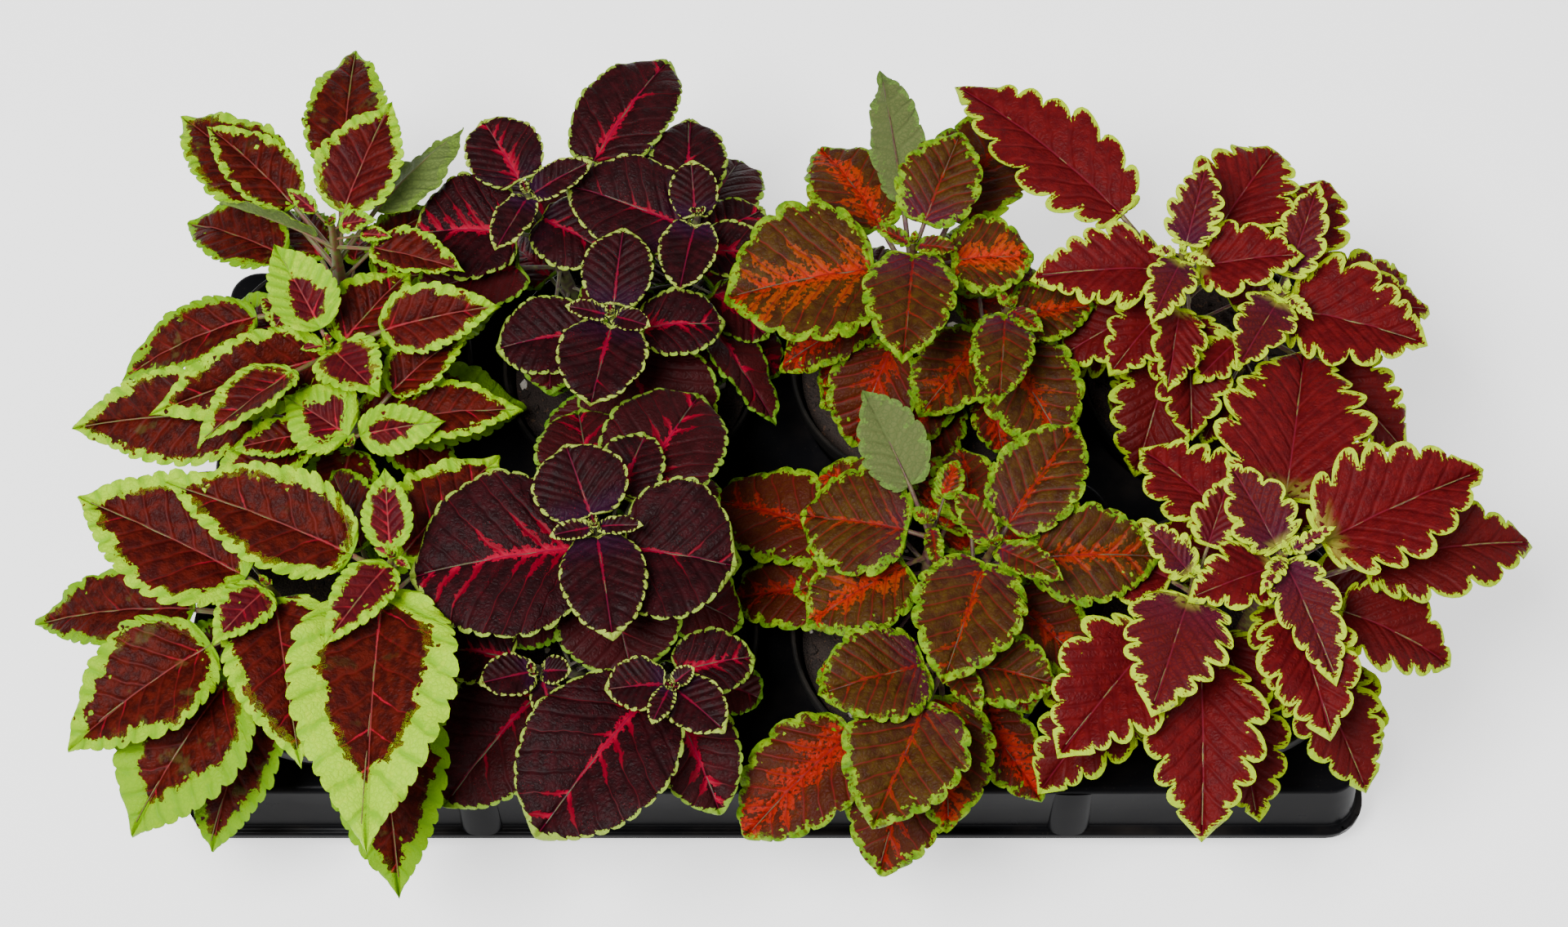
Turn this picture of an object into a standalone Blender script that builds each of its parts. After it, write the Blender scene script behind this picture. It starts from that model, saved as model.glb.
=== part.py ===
"""Eight young coleus plants in round pots, standing in a formed carry tray.

Metres, +Z up. The origin is at the middle of the tray, on the surface it stands on.
+X runs along the tray's length, and the front row of plants is at -Y.
"""
import math

import bmesh
import bpy
from mathutils import Matrix, Vector
from mathutils.bvhtree import BVHTree

MM = 0.001

# Carry tray, metres
TRAY_LENGTH = 0.540
TRAY_WIDTH = 0.280
TRAY_HEIGHT = 0.062
TRAY_SHEET = 0.0014
POT_PITCH = 0.134
DECK_INSET = 0.0075
SKIRT_SLOPE = 0.0035
FLANGE_HEIGHT = 0.024
FLANGE_LIP = 0.005
CORNER_RADIUS = 0.018
CORNER_STEPS = 3
RIB_RADIUS = 0.0095
RIB_PROUD = 0.0045
RIB_STEPS = 3
POST_TOP_RADIUS = 0.021
POST_FOOT_RADIUS = 0.014
POST_SIDES = 8

# Round pots, metres
POT_SIDES = 12
POT_HEIGHT = 0.090
POT_FOOT_RADIUS = 0.042
POT_BODY_RADIUS = 0.0570
POT_RIM_RADIUS = 0.0600
POT_RIM_HEIGHT = 0.010
POT_WALL = 0.0014
DRAIN_RADIUS = 0.008
DRAIN_SIDES = 6
FLOOR_HOLE_RADIUS = 0.024
SEAT_GAP = 0.0003
SIDE_GAP = 0.0006

# Soil and the planting holes, metres
SOIL_TOP = 0.080
PLANTING_DEPTH = 0.012
HOLE_GAP = 0.0003

# Stems and leaves, metres
STEM_FOOT_RADIUS = 0.0042
STEM_TIP_RADIUS = 0.0015
STEM_STEPS = 4
STEM_LEAN_POWER = 1.4
BUD_HEIGHT = 0.0038
PETIOLE_START = 0.0006
PETIOLE_WIDTH = 0.0026
PETIOLE_DEPTH = 0.0022
NECK_DEPTH = 0.0015
PETIOLE_LIFT = 10.0
BLADE_THICKNESS = 0.0008
TOOTH_LIMITS = (0.026, 0.047, 0.070, 0.095)
TOOTH_PHASE = 0.9
CLEARANCE = 0.0008

# Points on the midrib between a blade's two ends, by the teeth on each side
RIB_MARKS = {1: (0.4,), 2: (0.4,), 3: (0.25, 0.6), 4: (0.25, 0.6), 5: (0.2, 0.45, 0.7)}

# Where along the blade the base lobes reach back furthest, and how far the side veins sweep
HEART_SPREAD = 0.06
VEIN_SWEEP = 0.35

# A leaf's pitch falls from the tip of the shoot down, and its droop grows, in degrees and mm
TOP_PITCH = 22
PITCH_FADE = 25
BASE_PITCH = 6
PITCH_FALL = 0.15
TOP_DROOP = 15
DROOP_RISE = 0.5

# The small bends, in degrees, and the sizes that may be tried to clear a leaf's neighbours
LIFTS = (0, 6, -6, 12, -12, 18, -18, 26, -26, 34)
TURNS = (0, 6, -6, 12, -12, 18, -18)
SIZES = (1.0, 0.92, 0.84, 0.76)
LIFT_EFFORT = 0.17
TURN_EFFORT = 0.22
SIZE_EFFORT = 30

# Colours, as linear red, green, blue
BLACK_PLASTIC = (0.012, 0.012, 0.013)
POT_PLASTIC = (0.020, 0.019, 0.018)
SOIL_BROWN = (0.045, 0.028, 0.018)
TRAY_ROUGHNESS = 0.35
POT_ROUGHNESS = 0.55
SOIL_ROUGHNESS = 0.95
LEAF_ROUGHNESS = 0.45

# How each variety's leaf is cut. peak is where along the blade it is widest, fullness how
# round its outline is, cordate how far the base lobes reach back past the stalk, depth how
# deep the teeth are cut, lobe how much of the length the plain end lobe takes, and fold the
# angle of each half above the midrib, in degrees.
VARIETIES = {
    "lime": dict(peak=0.36, fullness=0.62, cordate=0.02, depth=0.13, lobe=0.16, fold=14,
                 colour=(0.33, 0.47, 0.03)),
    "dark": dict(peak=0.42, fullness=0.50, cordate=0.07, depth=0.09, lobe=0.12, fold=9,
                 colour=(0.035, 0.007, 0.010)),
    "olive": dict(peak=0.40, fullness=0.55, cordate=0.05, depth=0.15, lobe=0.14, fold=9,
                  colour=(0.14, 0.06, 0.008)),
    "crimson": dict(peak=0.36, fullness=0.62, cordate=0.04, depth=0.27, lobe=0.24, fold=12,
                    colour=(0.19, 0.006, 0.012)),
}

COLUMNS = ("lime", "dark", "olive", "crimson")
ROWS = ("front", "back")

# The planting plan, in millimetres and degrees, read off the plants by eye.
# Each shoot has its variety, its row, where it leaves the soil and where its tip is, both
# from the middle of its pot, and the height of the tip above the surface. Each leaf is
# (heading, distance below the tip, stalk, blade length, blade width) and, where the blade
# is turned about its midrib, the turn. Heading 0 points along +X and 90 to the back.
SHOOTS = (
    ("lime", "back", (3, 10), (5, 22), 185, (
        (145, 3, 10, 17, 9), (0, 3, 4, 18, 13), (-10, 10, 15, 15, 9),
        (70, 12, 13, 58, 41), (160, 16, 9, 47, 22, 70), (146, 22, 28, 62, 32),
        (133, 34, 38, 80, 44), (90, 38, 46, 85, 40), (52, 30, 30, 60, 34, 150),
        (15, 50, 22, 56, 38), (152, 48, 30, 62, 36), (-164, 58, 40, 76, 33))),
    ("lime", "back", (3, -17), (6, -33), 176, (
        (-160, 3, 2, 12, 7), (120, 7, 9, 44, 32), (-50, 7, 2, 36, 32),
        (-160, 22, 2, 84, 40, -25), (52, 20, 6, 48, 40), (25, 40, 21, 58, 44),
        (140, 60, 27, 54, 31))),
    ("lime", "back", (11, -27), (17, -77), 166, (
        (150, 8, 2, 34, 38), (5, 9, 4, 39, 24, 35), (25, 26, 2, 52, 30, 30),
        (178, 30, 42, 94, 46, -30), (-175, 46, 12, 56, 26), (15, 50, 5, 78, 50),
        (-100, 48, 16, 48, 36))),
    ("lime", "front", (21, -3), (41, -5), 187, (
        (160, 2, 2, 7, 5), (-40, 2, 2, 10, 5), (95, 7, 5, 36, 23),
        (-120, 7, 2, 49, 26), (160, 20, 17, 88, 50), (55, 24, 10, 73, 44),
        (-91, 22, 12, 120, 74), (-84, 52, 36, 100, 56))),
    ("lime", "front", (-7, -7), (-13, -14), 178, (
        (-125, 5, 2, 36, 25), (155, 15, 14, 84, 62), (-78, 15, 3, 80, 52),
        (-145, 36, 37, 77, 56), (-125, 42, 38, 84, 63), (-112, 66, 36, 76, 42),
        (178, 50, 42, 82, 40))),
    ("dark", "back", (-22, 20), (-44, 41), 180, (
        (25, 3, 2, 31, 17), (-110, 3, 2, 36, 18), (120, 15, 18, 36, 37),
        (-30, 15, 2, 39, 40), (178, 28, 15, 48, 57), (62, 32, 42, 72, 45),
        (-160, 46, 22, 50, 44))),
    ("dark", "back", (17, 16), (33, 32), 176, (
        (95, 6, 3, 27, 23), (-100, 6, 3, 40, 27), (160, 12, 4, 58, 50),
        (-5, 24, 5, 34, 30), (90, 26, 24, 48, 37), (40, 32, 7, 42, 32),
        (70, 38, 27, 53, 42), (110, 42, 27, 50, 42), (-55, 48, 12, 70, 30, -30))),
    ("dark", "back", (-2, -11), (-5, -21), 181, (
        (175, 3, 2, 19, 10), (-25, 3, 2, 19, 12), (-100, 11, 3, 44, 41),
        (85, 11, 8, 37, 33), (-170, 24, 13, 42, 41), (5, 26, 13, 38, 35),
        (-62, 42, 3, 62, 66))),
    ("dark", "front", (-4, 4), (-9, 9), 188, (
        (-160, 3, 2, 19, 10), (-5, 3, 2, 20, 9), (110, 9, 8, 34, 43),
        (-80, 9, 2, 52, 38), (-170, 22, 10, 74, 80), (-10, 22, 12, 49, 69),
        (64, 36, 31, 65, 56), (100, 40, 28, 56, 46), (-75, 40, 6, 46, 58),
        (-15, 44, 16, 53, 40))),
    ("dark", "front", (-17, -20), (-35, -47), 160, (
        (-160, 4, 2, 24, 21), (-5, 6, 2, 13, 14), (-75, 8, 4, 23, 15),
        (-130, 36, 13, 68, 56))),
    ("dark", "front", (12, -20), (24, -57), 168, (
        (-110, 3, 2, 20, 11), (35, 3, 2, 11, 9), (-170, 8, 2, 26, 26),
        (-50, 8, 2, 33, 26), (-126, 22, 13, 78, 68), (15, 30, 7, 36, 32),
        (-66, 36, 15, 54, 40))),
    ("olive", "back", (-3, 5), (-6, 11), 188, (
        (160, 3, 2, 18, 9), (-15, 3, 2, 19, 11), (68, 9, 14, 47, 40),
        (-95, 9, 2, 60, 43), (-168, 22, 20, 69, 75), (3, 22, 18, 38, 43),
        (97, 30, 38, 72, 28, 150), (118, 34, 30, 62, 44), (62, 40, 36, 72, 52),
        (-155, 48, 18, 55, 30), (-115, 52, 24, 50, 43))),
    ("olive", "back", (19, -7), (37, -13), 173, (
        (-45, 3, 2, 20, 11), (120, 3, 2, 8, 6), (-95, 7, 2, 50, 29),
        (-120, 14, 2, 26, 18, -40), (-130, 34, 3, 47, 40), (-60, 30, 11, 57, 50),
        (10, 20, 6, 40, 34))),
    ("olive", "front", (13, 0), (26, 0), 188, (
        (125, 3, 2, 27, 16), (-35, 3, 2, 34, 17), (55, 14, 15, 57, 42),
        (-109, 14, 5, 60, 50), (-38, 40, 14, 52, 40))),
    ("olive", "front", (0, 8), (0, 17), 174, (
        (145, 3, 2, 9, 8), (-85, 4, 2, 23, 9), (167, 13, 10, 50, 56),
        (115, 12, 23, 47, 33, 150), (70, 16, 19, 19, 14), (-148, 28, 13, 52, 46),
        (152, 56, 38, 84, 50), (178, 66, 30, 64, 44))),
    ("olive", "front", (3, -20), (7, -43), 162, (
        (-65, 4, 4, 27, 15), (-160, 10, 12, 49, 48), (-17, 10, 9, 41, 38),
        (-112, 14, 25, 61, 56), (-107, 44, 32, 68, 50), (-88, 36, 17, 60, 44),
        (-138, 48, 52, 68, 50), (-52, 52, 24, 54, 32))),
    ("crimson", "back", (-11, 3), (-22, 6), 188, (
        (-175, 2, 4, 13, 7), (-35, 2, 2, 15, 7), (75, 6, 6, 40, 28),
        (-115, 6, 2, 41, 25), (-175, 17, 10, 61, 45), (0, 17, 7, 48, 41),
        (133, 30, 42, 108, 53), (57, 30, 29, 58, 54), (38, 42, 26, 52, 42),
        (-130, 32, 13, 44, 36), (-88, 34, 14, 56, 44), (-108, 54, 28, 56, 44),
        (-155, 42, 22, 46, 38))),
    ("crimson", "back", (12, -5), (24, -8), 178, (
        (165, 2, 2, 7, 6), (-55, 3, 2, 19, 8), (70, 6, 9, 46, 26),
        (-120, 6, 4, 48, 29), (-18, 17, 7, 64, 60), (66, 26, 24, 54, 44),
        (-42, 42, 30, 60, 46), (25, 44, 28, 56, 42))),
    ("crimson", "front", (7, -3), (14, -4), 188, (
        (25, 3, 3, 22, 9), (-120, 3, 2, 24, 10), (120, 6, 4, 43, 33),
        (-70, 6, 2, 58, 32), (79, 24, 32, 84, 74), (25, 19, 22, 81, 61),
        (130, 22, 29, 56, 44), (-155, 15, 2, 44, 36), (-75, 26, 24, 57, 48),
        (9, 46, 46, 80, 56), (-22, 42, 34, 56, 46), (-75, 52, 34, 67, 46),
        (-55, 56, 38, 54, 40), (-85, 34, 12, 45, 29))),
    ("crimson", "front", (-12, -6), (-24, -10), 178, (
        (135, 4, 2, 31, 21), (70, 12, 17, 34, 24), (156, 24, 13, 46, 43),
        (-110, 9, 12, 61, 50), (-130, 26, 34, 68, 60), (-92, 32, 35, 78, 58),
        (-75, 48, 33, 66, 46), (-65, 38, 19, 42, 36), (-134, 52, 37, 74, 50))),
)


def clear_scene():
    for thing in list(bpy.data.objects):
        bpy.data.objects.remove(thing, do_unlink=True)


def add_object(name, bm, colour, roughness):
    """Make an object of a bmesh, with a material of its own."""
    mesh = bpy.data.meshes.new(name)
    bm.to_mesh(mesh)
    bm.free()
    thing = bpy.data.objects.new(name, mesh)
    bpy.context.collection.objects.link(thing)
    material = bpy.data.materials.new(name)
    material.use_nodes = True
    shader = material.node_tree.nodes["Principled BSDF"]
    shader.inputs["Base Color"].default_value = (*colour, 1.0)
    shader.inputs["Roughness"].default_value = roughness
    shader.inputs["Metallic"].default_value = 0.0
    mesh.materials.append(material)
    return thing


def circle(x, y, z, radius, sides):
    """Points of a regular polygon round a vertical axis, counter-clockwise."""
    turn = 2 * math.pi / sides
    return [Vector((x + radius * math.cos(turn * i), y + radius * math.sin(turn * i), z))
            for i in range(sides)]


def add_loop(bm, points):
    return [bm.verts.new(p) for p in points]


def join_loops(bm, lower, upper):
    """Quads between two closed loops of as many vertices, running the same way."""
    count = len(lower)
    for i in range(count):
        j = (i + 1) % count
        bm.faces.new((lower[i], lower[j], upper[j], upper[i]))


def fill_between(bm, outer, holes):
    """Fill a flat closed loop, leaving the hole loops open."""
    edges = []
    for loop in [outer, *holes]:
        for i, vert in enumerate(loop):
            after = loop[(i + 1) % len(loop)]
            edges.append(bm.edges.get((vert, after)) or bm.edges.new((vert, after)))
    bmesh.ops.triangle_fill(bm, use_beauty=True, edges=edges)


def pot_centre(column, row):
    x = (COLUMNS.index(column) - 1.5) * POT_PITCH
    y = (ROWS.index(row) - 0.5) * POT_PITCH
    return x, y


def tray_outline(inset, rib_proud, z):
    """Rounded rectangle with three half-round ribs on each long side, counter-clockwise."""
    half_x = TRAY_LENGTH / 2 - inset
    half_y = TRAY_WIDTH / 2 - inset
    radius = CORNER_RADIUS
    points = []
    for corner, (sx, sy) in enumerate(((1, -1), (1, 1), (-1, 1), (-1, -1))):
        cx, cy = sx * (half_x - radius), sy * (half_y - radius)
        for step in range(CORNER_STEPS + 1):
            angle = math.radians(-90 + 90 * corner + 90 * step / CORNER_STEPS)
            points.append(Vector((cx + radius * math.cos(angle), cy + radius * math.sin(angle), z)))
        if corner in (1, 3):
            side = 1 if corner == 1 else -1
            for rib in (1, 0, -1):
                for step in range(RIB_STEPS + 1):
                    angle = math.pi * step / RIB_STEPS
                    x = side * (rib * POT_PITCH + RIB_RADIUS * math.cos(angle))
                    y = side * (half_y + rib_proud * math.sin(angle))
                    points.append(Vector((x, y, z)))
    return points


def build_tray():
    """The formed sheet: its upper face first, which then gets its thickness downwards."""
    bm = bmesh.new()
    deck = add_loop(bm, tray_outline(DECK_INSET, 0.0, TRAY_HEIGHT))
    skirt = add_loop(bm, tray_outline(DECK_INSET - SKIRT_SLOPE, RIB_PROUD, FLANGE_HEIGHT))
    flange = add_loop(bm, tray_outline(0.0, 0.0, FLANGE_HEIGHT))
    lip = add_loop(bm, tray_outline(0.0, 0.0, FLANGE_HEIGHT - FLANGE_LIP))
    join_loops(bm, skirt, deck)
    join_loops(bm, flange, skirt)
    join_loops(bm, lip, flange)
    floor = TRAY_SHEET
    foot = POT_FOOT_RADIUS + SIDE_GAP
    mouth = body_radius(TRAY_HEIGHT - floor) + SIDE_GAP
    holes = []
    for column in COLUMNS:
        for row in ROWS:
            x, y = pot_centre(column, row)
            top = add_loop(bm, circle(x, y, TRAY_HEIGHT, mouth, POT_SIDES))
            low = add_loop(bm, circle(x, y, floor, foot, POT_SIDES))
            drain = add_loop(bm, circle(x, y, floor, FLOOR_HOLE_RADIUS, POST_SIDES))
            join_loops(bm, top, low)
            fill_between(bm, low, [drain])
            holes.append(top)
    for post in (-1, 0, 1):
        top = add_loop(bm, circle(post * POT_PITCH, 0, TRAY_HEIGHT, POST_TOP_RADIUS, POST_SIDES))
        low = add_loop(bm, circle(post * POT_PITCH, 0, floor, POST_FOOT_RADIUS, POST_SIDES))
        join_loops(bm, top, low)
        bm.faces.new(low)
        holes.append(top)
    fill_between(bm, deck, holes)
    bmesh.ops.triangulate(bm, faces=bm.faces)
    bmesh.ops.recalc_face_normals(bm, faces=bm.faces)
    if max(bm.faces, key=lambda f: f.calc_center_median().z).normal.z < 0:
        bmesh.ops.reverse_faces(bm, faces=bm.faces)
    tray = add_object("tray", bm, BLACK_PLASTIC, TRAY_ROUGHNESS)
    sheet = tray.modifiers.new("Sheet", "SOLIDIFY")
    sheet.thickness = TRAY_SHEET
    sheet.offset = -1.0
    sheet.use_even_offset = True
    return tray


def body_radius(height):
    """Outer radius of a pot's body at a height above its foot."""
    taper = (POT_BODY_RADIUS - POT_FOOT_RADIUS) / (POT_HEIGHT - POT_RIM_HEIGHT)
    return POT_FOOT_RADIUS + taper * height


def build_pot(column, row):
    """Thin-walled pot with a turned-out rim and a drain hole."""
    x, y = pot_centre(column, row)
    foot = TRAY_SHEET + SEAT_GAP
    bm = bmesh.new()
    shoulder = POT_HEIGHT - POT_RIM_HEIGHT
    profile = ((0, POT_FOOT_RADIUS), (shoulder, POT_BODY_RADIUS),
               (shoulder, POT_RIM_RADIUS - POT_WALL / 2), (POT_HEIGHT, POT_RIM_RADIUS),
               (POT_HEIGHT, POT_BODY_RADIUS + POT_WALL / 2), (POT_WALL, POT_FOOT_RADIUS - POT_WALL))
    loops = [add_loop(bm, circle(x, y, foot + height, radius, POT_SIDES))
             for height, radius in profile]
    for lower, upper in zip(loops, loops[1:]):
        join_loops(bm, lower, upper)
    drain = [add_loop(bm, circle(x, y, foot + height, DRAIN_RADIUS, DRAIN_SIDES))
             for height in (0, POT_WALL)]
    fill_between(bm, loops[0], [drain[0]])
    fill_between(bm, loops[-1], [drain[1]])
    join_loops(bm, drain[0], drain[1])
    bmesh.ops.recalc_face_normals(bm, faces=bm.faces)
    return add_object(f"pot_{column}_{row}", bm, POT_PLASTIC, POT_ROUGHNESS)


def inner_radius(height):
    """Inner radius of a pot at a height above its foot."""
    top = POT_BODY_RADIUS + POT_WALL / 2
    low = POT_FOOT_RADIUS - POT_WALL
    return low + (top - low) * (height - POT_WALL) / (POT_HEIGHT - POT_WALL)


def square(x, y, z, radius):
    return circle(x, y, z, radius, 4)


def build_soil(column, row):
    """Soil plug, a tapered cylinder with a plain square hole for each stem."""
    x, y = pot_centre(column, row)
    foot = TRAY_SHEET + SEAT_GAP
    low_z = foot + POT_WALL + SEAT_GAP
    bm = bmesh.new()
    low = add_loop(bm, circle(x, y, low_z, inner_radius(low_z - foot) - SIDE_GAP, POT_SIDES))
    top = add_loop(bm, circle(x, y, SOIL_TOP, inner_radius(SOIL_TOP - foot) - SIDE_GAP, POT_SIDES))
    join_loops(bm, low, top)
    bm.faces.new(low)
    holes = []
    for shoot in SHOOTS:
        if shoot[:2] == (column, row):
            hx, hy = x + shoot[2][0] * MM, y + shoot[2][1] * MM
            radius = STEM_FOOT_RADIUS + HOLE_GAP * math.sqrt(2)
            mouth = add_loop(bm, square(hx, hy, SOIL_TOP, radius))
            bottom = add_loop(bm, square(hx, hy, SOIL_TOP - PLANTING_DEPTH, radius))
            join_loops(bm, bottom, mouth)
            bm.faces.new(bottom)
            holes.append(mouth)
    fill_between(bm, top, holes)
    bmesh.ops.recalc_face_normals(bm, faces=bm.faces)
    return add_object(f"soil_{column}_{row}", bm, SOIL_BROWN, SOIL_ROUGHNESS)


def stem_axis(shoot, height):
    """Point on a shoot's axis at a height above the surface: upright at first, then leaning."""
    column, row, root, tip, tip_height = shoot[:5]
    x, y = pot_centre(column, row)
    t = max(0.0, (height - SOIL_TOP) / (tip_height * MM - SOIL_TOP)) ** STEM_LEAN_POWER
    return Vector((x + (root[0] + (tip[0] - root[0]) * t) * MM,
                   y + (root[1] + (tip[1] - root[1]) * t) * MM, height))


def stem_solid(shoot):
    """Square stem from the bottom of its hole to the bud at its tip."""
    tip_height = shoot[4] * MM
    foot = SOIL_TOP - PLANTING_DEPTH + SEAT_GAP
    heights = [foot] + [SOIL_TOP + (tip_height - SOIL_TOP) * i / STEM_STEPS
                        for i in range(STEM_STEPS + 1)]
    bm = bmesh.new()
    loops = []
    for i, height in enumerate(heights):
        radius = STEM_FOOT_RADIUS
        if i > 1:
            radius += (STEM_TIP_RADIUS - STEM_FOOT_RADIUS) * (i - 1) / STEM_STEPS
        centre = stem_axis(shoot, height)
        loops.append(add_loop(bm, square(centre.x, centre.y, centre.z, radius)))
    for lower, upper in zip(loops, loops[1:]):
        join_loops(bm, lower, upper)
    bm.faces.new(loops[0])
    bud = bm.verts.new(stem_axis(shoot, tip_height) + Vector((0, 0, BUD_HEIGHT)))
    for i, vert in enumerate(loops[-1]):
        bm.faces.new((vert, loops[-1][(i + 1) % 4], bud))
    bmesh.ops.recalc_face_normals(bm, faces=bm.faces)
    return bm


def stalk_pitch(drop):
    """Degrees above the level at which a blade starts, for a leaf so far below the tip."""
    return TOP_PITCH * math.exp(-drop / PITCH_FADE) + BASE_PITCH - PITCH_FALL * drop


def blade_droop(drop):
    """Degrees by which a blade bends down from its base to its tip."""
    return TOP_DROOP + DROOP_RISE * drop


def outline_point(cut, along):
    """Edge of an uncut blade, as fractions of its length and of half its width."""
    spread = along / HEART_SPREAD
    back = cut["cordate"] * spread * math.exp(1 - spread)
    first = cut["fullness"]
    last = first * (1 - cut["peak"]) / cut["peak"]
    width = (along / cut["peak"]) ** first * ((1 - along) / (1 - cut["peak"])) ** last
    return along - back, width


def blade_point(cut, along, across, tooth):
    """A point of the flat blade. across is 0 on the midrib and 1 or -1 on the edges."""
    origin = along * (1 - VEIN_SWEEP + VEIN_SWEEP * along)
    edge_x, edge_y = outline_point(cut, along)
    reach = (1 - cut["depth"] * (1 - tooth)) * abs(across)
    return origin + (edge_x - origin) * reach, math.copysign(edge_y * reach, across)


def tooth_count(length):
    """Teeth on each side of a blade besides its end lobe: fewer on the small leaves."""
    return 1 + sum(length > limit for limit in TOOTH_LIMITS)


def zip_strip(edge, rib):
    """Triangles between two chains of (place along the blade, vertex) that meet at the tip."""
    triangles = []
    i = j = 0
    while i < len(edge) - 1 or j < len(rib) - 1:
        if j == len(rib) - 1 or (i < len(edge) - 1 and edge[i + 1][0] <= rib[j + 1][0]):
            triangles.append((edge[i][1], edge[i + 1][1], rib[j][1]))
            i += 1
        else:
            triangles.append((edge[i][1], rib[j + 1][1], rib[j][1]))
            j += 1
    return triangles


class Leaf:
    """One leaf of a shoot, with the small turns that keep it clear of its neighbours."""

    def __init__(self, shoot, entry):
        self.shoot = shoot
        self.cut = VARIETIES[shoot[0]]
        self.heading, self.drop, stalk, length, width = entry[:5]
        self.roll = entry[5] if len(entry) > 5 else 0
        self.stalk, self.length, self.width = stalk * MM, length * MM, width * MM
        self.lift, self.turn, self.scale = 0, 0, 1.0

    def frame(self):
        """Start of the stalk, start of the blade, heading, pitch and bend of the blade."""
        heading = math.radians(self.heading + self.turn)
        ahead = Vector((math.cos(heading), math.sin(heading), 0))
        pitch = math.radians(stalk_pitch(self.drop) + self.lift)
        rise = pitch + math.radians(PETIOLE_LIFT)
        start = stem_axis(self.shoot, (self.shoot[4] - self.drop) * MM)
        along = ahead * math.cos(rise) + Vector((0, 0, math.sin(rise)))
        base = start + along * self.stalk
        return start + along * PETIOLE_START, base, ahead, pitch, math.radians(blade_droop(self.drop))

    def place(self, x, y, z, size):
        """Bend a point of the flat blade down along its arc. x, y and z are in metres."""
        _, base, ahead, pitch, droop = self.frame()
        length = self.length * size
        u = min(max(x / length, 0.0), 1.0)
        here = pitch - droop * u
        run = length * (math.sin(pitch) - math.sin(here)) / droop
        rise = length * (math.cos(here) - math.cos(pitch)) / droop
        up = Vector((0, 0, 1))
        along = ahead * math.cos(here) + up * math.sin(here)
        side = Vector((-ahead.y, ahead.x, 0))
        spin = Matrix.Rotation(math.radians(self.roll), 3, along)
        normal = spin @ along.cross(side)
        middle = base + ahead * run + up * rise + along * (x - u * length)
        return middle + (spin @ side) * y + normal * z

    def solid(self, margin=0.0, stalk=True):
        """The leaf as one closed bmesh: square stalk, then a blade of even thickness."""
        size = self.scale
        length, half = self.length * size, self.width * size / 2
        fold = math.tan(math.radians(self.cut["fold"]))
        teeth = tooth_count(self.length)
        grow = 1 + margin / half
        plain = 1 - self.cut["lobe"]
        chain = []
        for k in range(2 * teeth):
            chain.append((plain * (k + TOOTH_PHASE) / (2 * teeth), 1.0 if k % 2 == 0 else 0.0))
        bm = bmesh.new()
        layers = []
        top_z, low_z = margin, -BLADE_THICKNESS - margin
        neck = PETIOLE_WIDTH / 2 + margin
        for z, neck_z in ((top_z, top_z), (low_z, -NECK_DEPTH - margin)):
            sides = []
            for sign in (1, -1):
                edge = [(0.0, bm.verts.new(self.place(0, sign * neck, neck_z, size)))]
                for along, tooth in chain:
                    x, y = blade_point(self.cut, along, sign, tooth)
                    x, y = x * length, y * half * grow
                    lift = abs(y) * fold
                    edge.append((along, bm.verts.new(self.place(x, y, z + lift, size))))
                sides.append(edge)
            rib = [(u, bm.verts.new(self.place(u * length, 0, z, size))) for u in RIB_MARKS[teeth]]
            tip = (1.0, bm.verts.new(self.place(length, 0, z, size)))
            layers.append((sides, rib + [tip]))
        for sides, rib in layers:
            bm.faces.new((sides[0][0][1], sides[1][0][1], rib[0][1]))
            for edge in sides:
                for triangle in zip_strip(edge, rib):
                    bm.faces.new(triangle)
        (top_sides, top_rib), (low_sides, low_rib) = layers
        for top_edge, low_edge in zip(top_sides, low_sides):
            top_run = [v for _, v in top_edge] + [top_rib[-1][1]]
            low_run = [v for _, v in low_edge] + [low_rib[-1][1]]
            for i in range(len(top_run) - 1):
                bm.faces.new((top_run[i], top_run[i + 1], low_run[i]))
                bm.faces.new((top_run[i + 1], low_run[i + 1], low_run[i]))
        neck_loop = [top_sides[0][0][1], top_sides[1][0][1], low_sides[1][0][1], low_sides[0][0][1]]
        if stalk:
            self.add_stalk(bm, neck_loop, margin)
        else:
            bm.faces.new(neck_loop)
        if self.roll:
            bmesh.ops.triangulate(bm, faces=[f for f in bm.faces if len(f.verts) > 3])
        bmesh.ops.recalc_face_normals(bm, faces=bm.faces)
        return bm

    def add_stalk(self, bm, neck_loop, margin):
        """Square bar from inside the stem to the blade, turned as the blade is."""
        start, base, ahead, _, _ = self.frame()
        along = (base - start).normalized()
        side = Vector((-ahead.y, ahead.x, 0))
        spin = Matrix.Rotation(math.radians(self.roll), 3, along)
        side, up = spin @ side, spin @ along.cross(side)
        wide = PETIOLE_WIDTH / 2 + margin
        deep = PETIOLE_DEPTH + margin
        corners = ((wide, margin), (-wide, margin), (-wide, -deep), (wide, -deep))
        root = [bm.verts.new(start + side * y + up * z) for y, z in corners]
        for i in range(4):
            j = (i + 1) % 4
            bm.faces.new((root[i], root[j], neck_loop[j], neck_loop[i]))
        bm.faces.new(root)


def tree_of(bm):
    """Search tree of a mesh and its box, for the clearance test."""
    bm.verts.ensure_lookup_table()
    tree = BVHTree.FromBMesh(bm)
    low = Vector([min(v.co[k] for v in bm.verts) for k in range(3)])
    high = Vector([max(v.co[k] for v in bm.verts) for k in range(3)])
    bm.free()
    return tree, low, high


def touches(one, other):
    if any(one[1][k] > other[2][k] or other[1][k] > one[2][k] for k in range(3)):
        return False
    return bool(one[0].overlap(other[0]))


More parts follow.
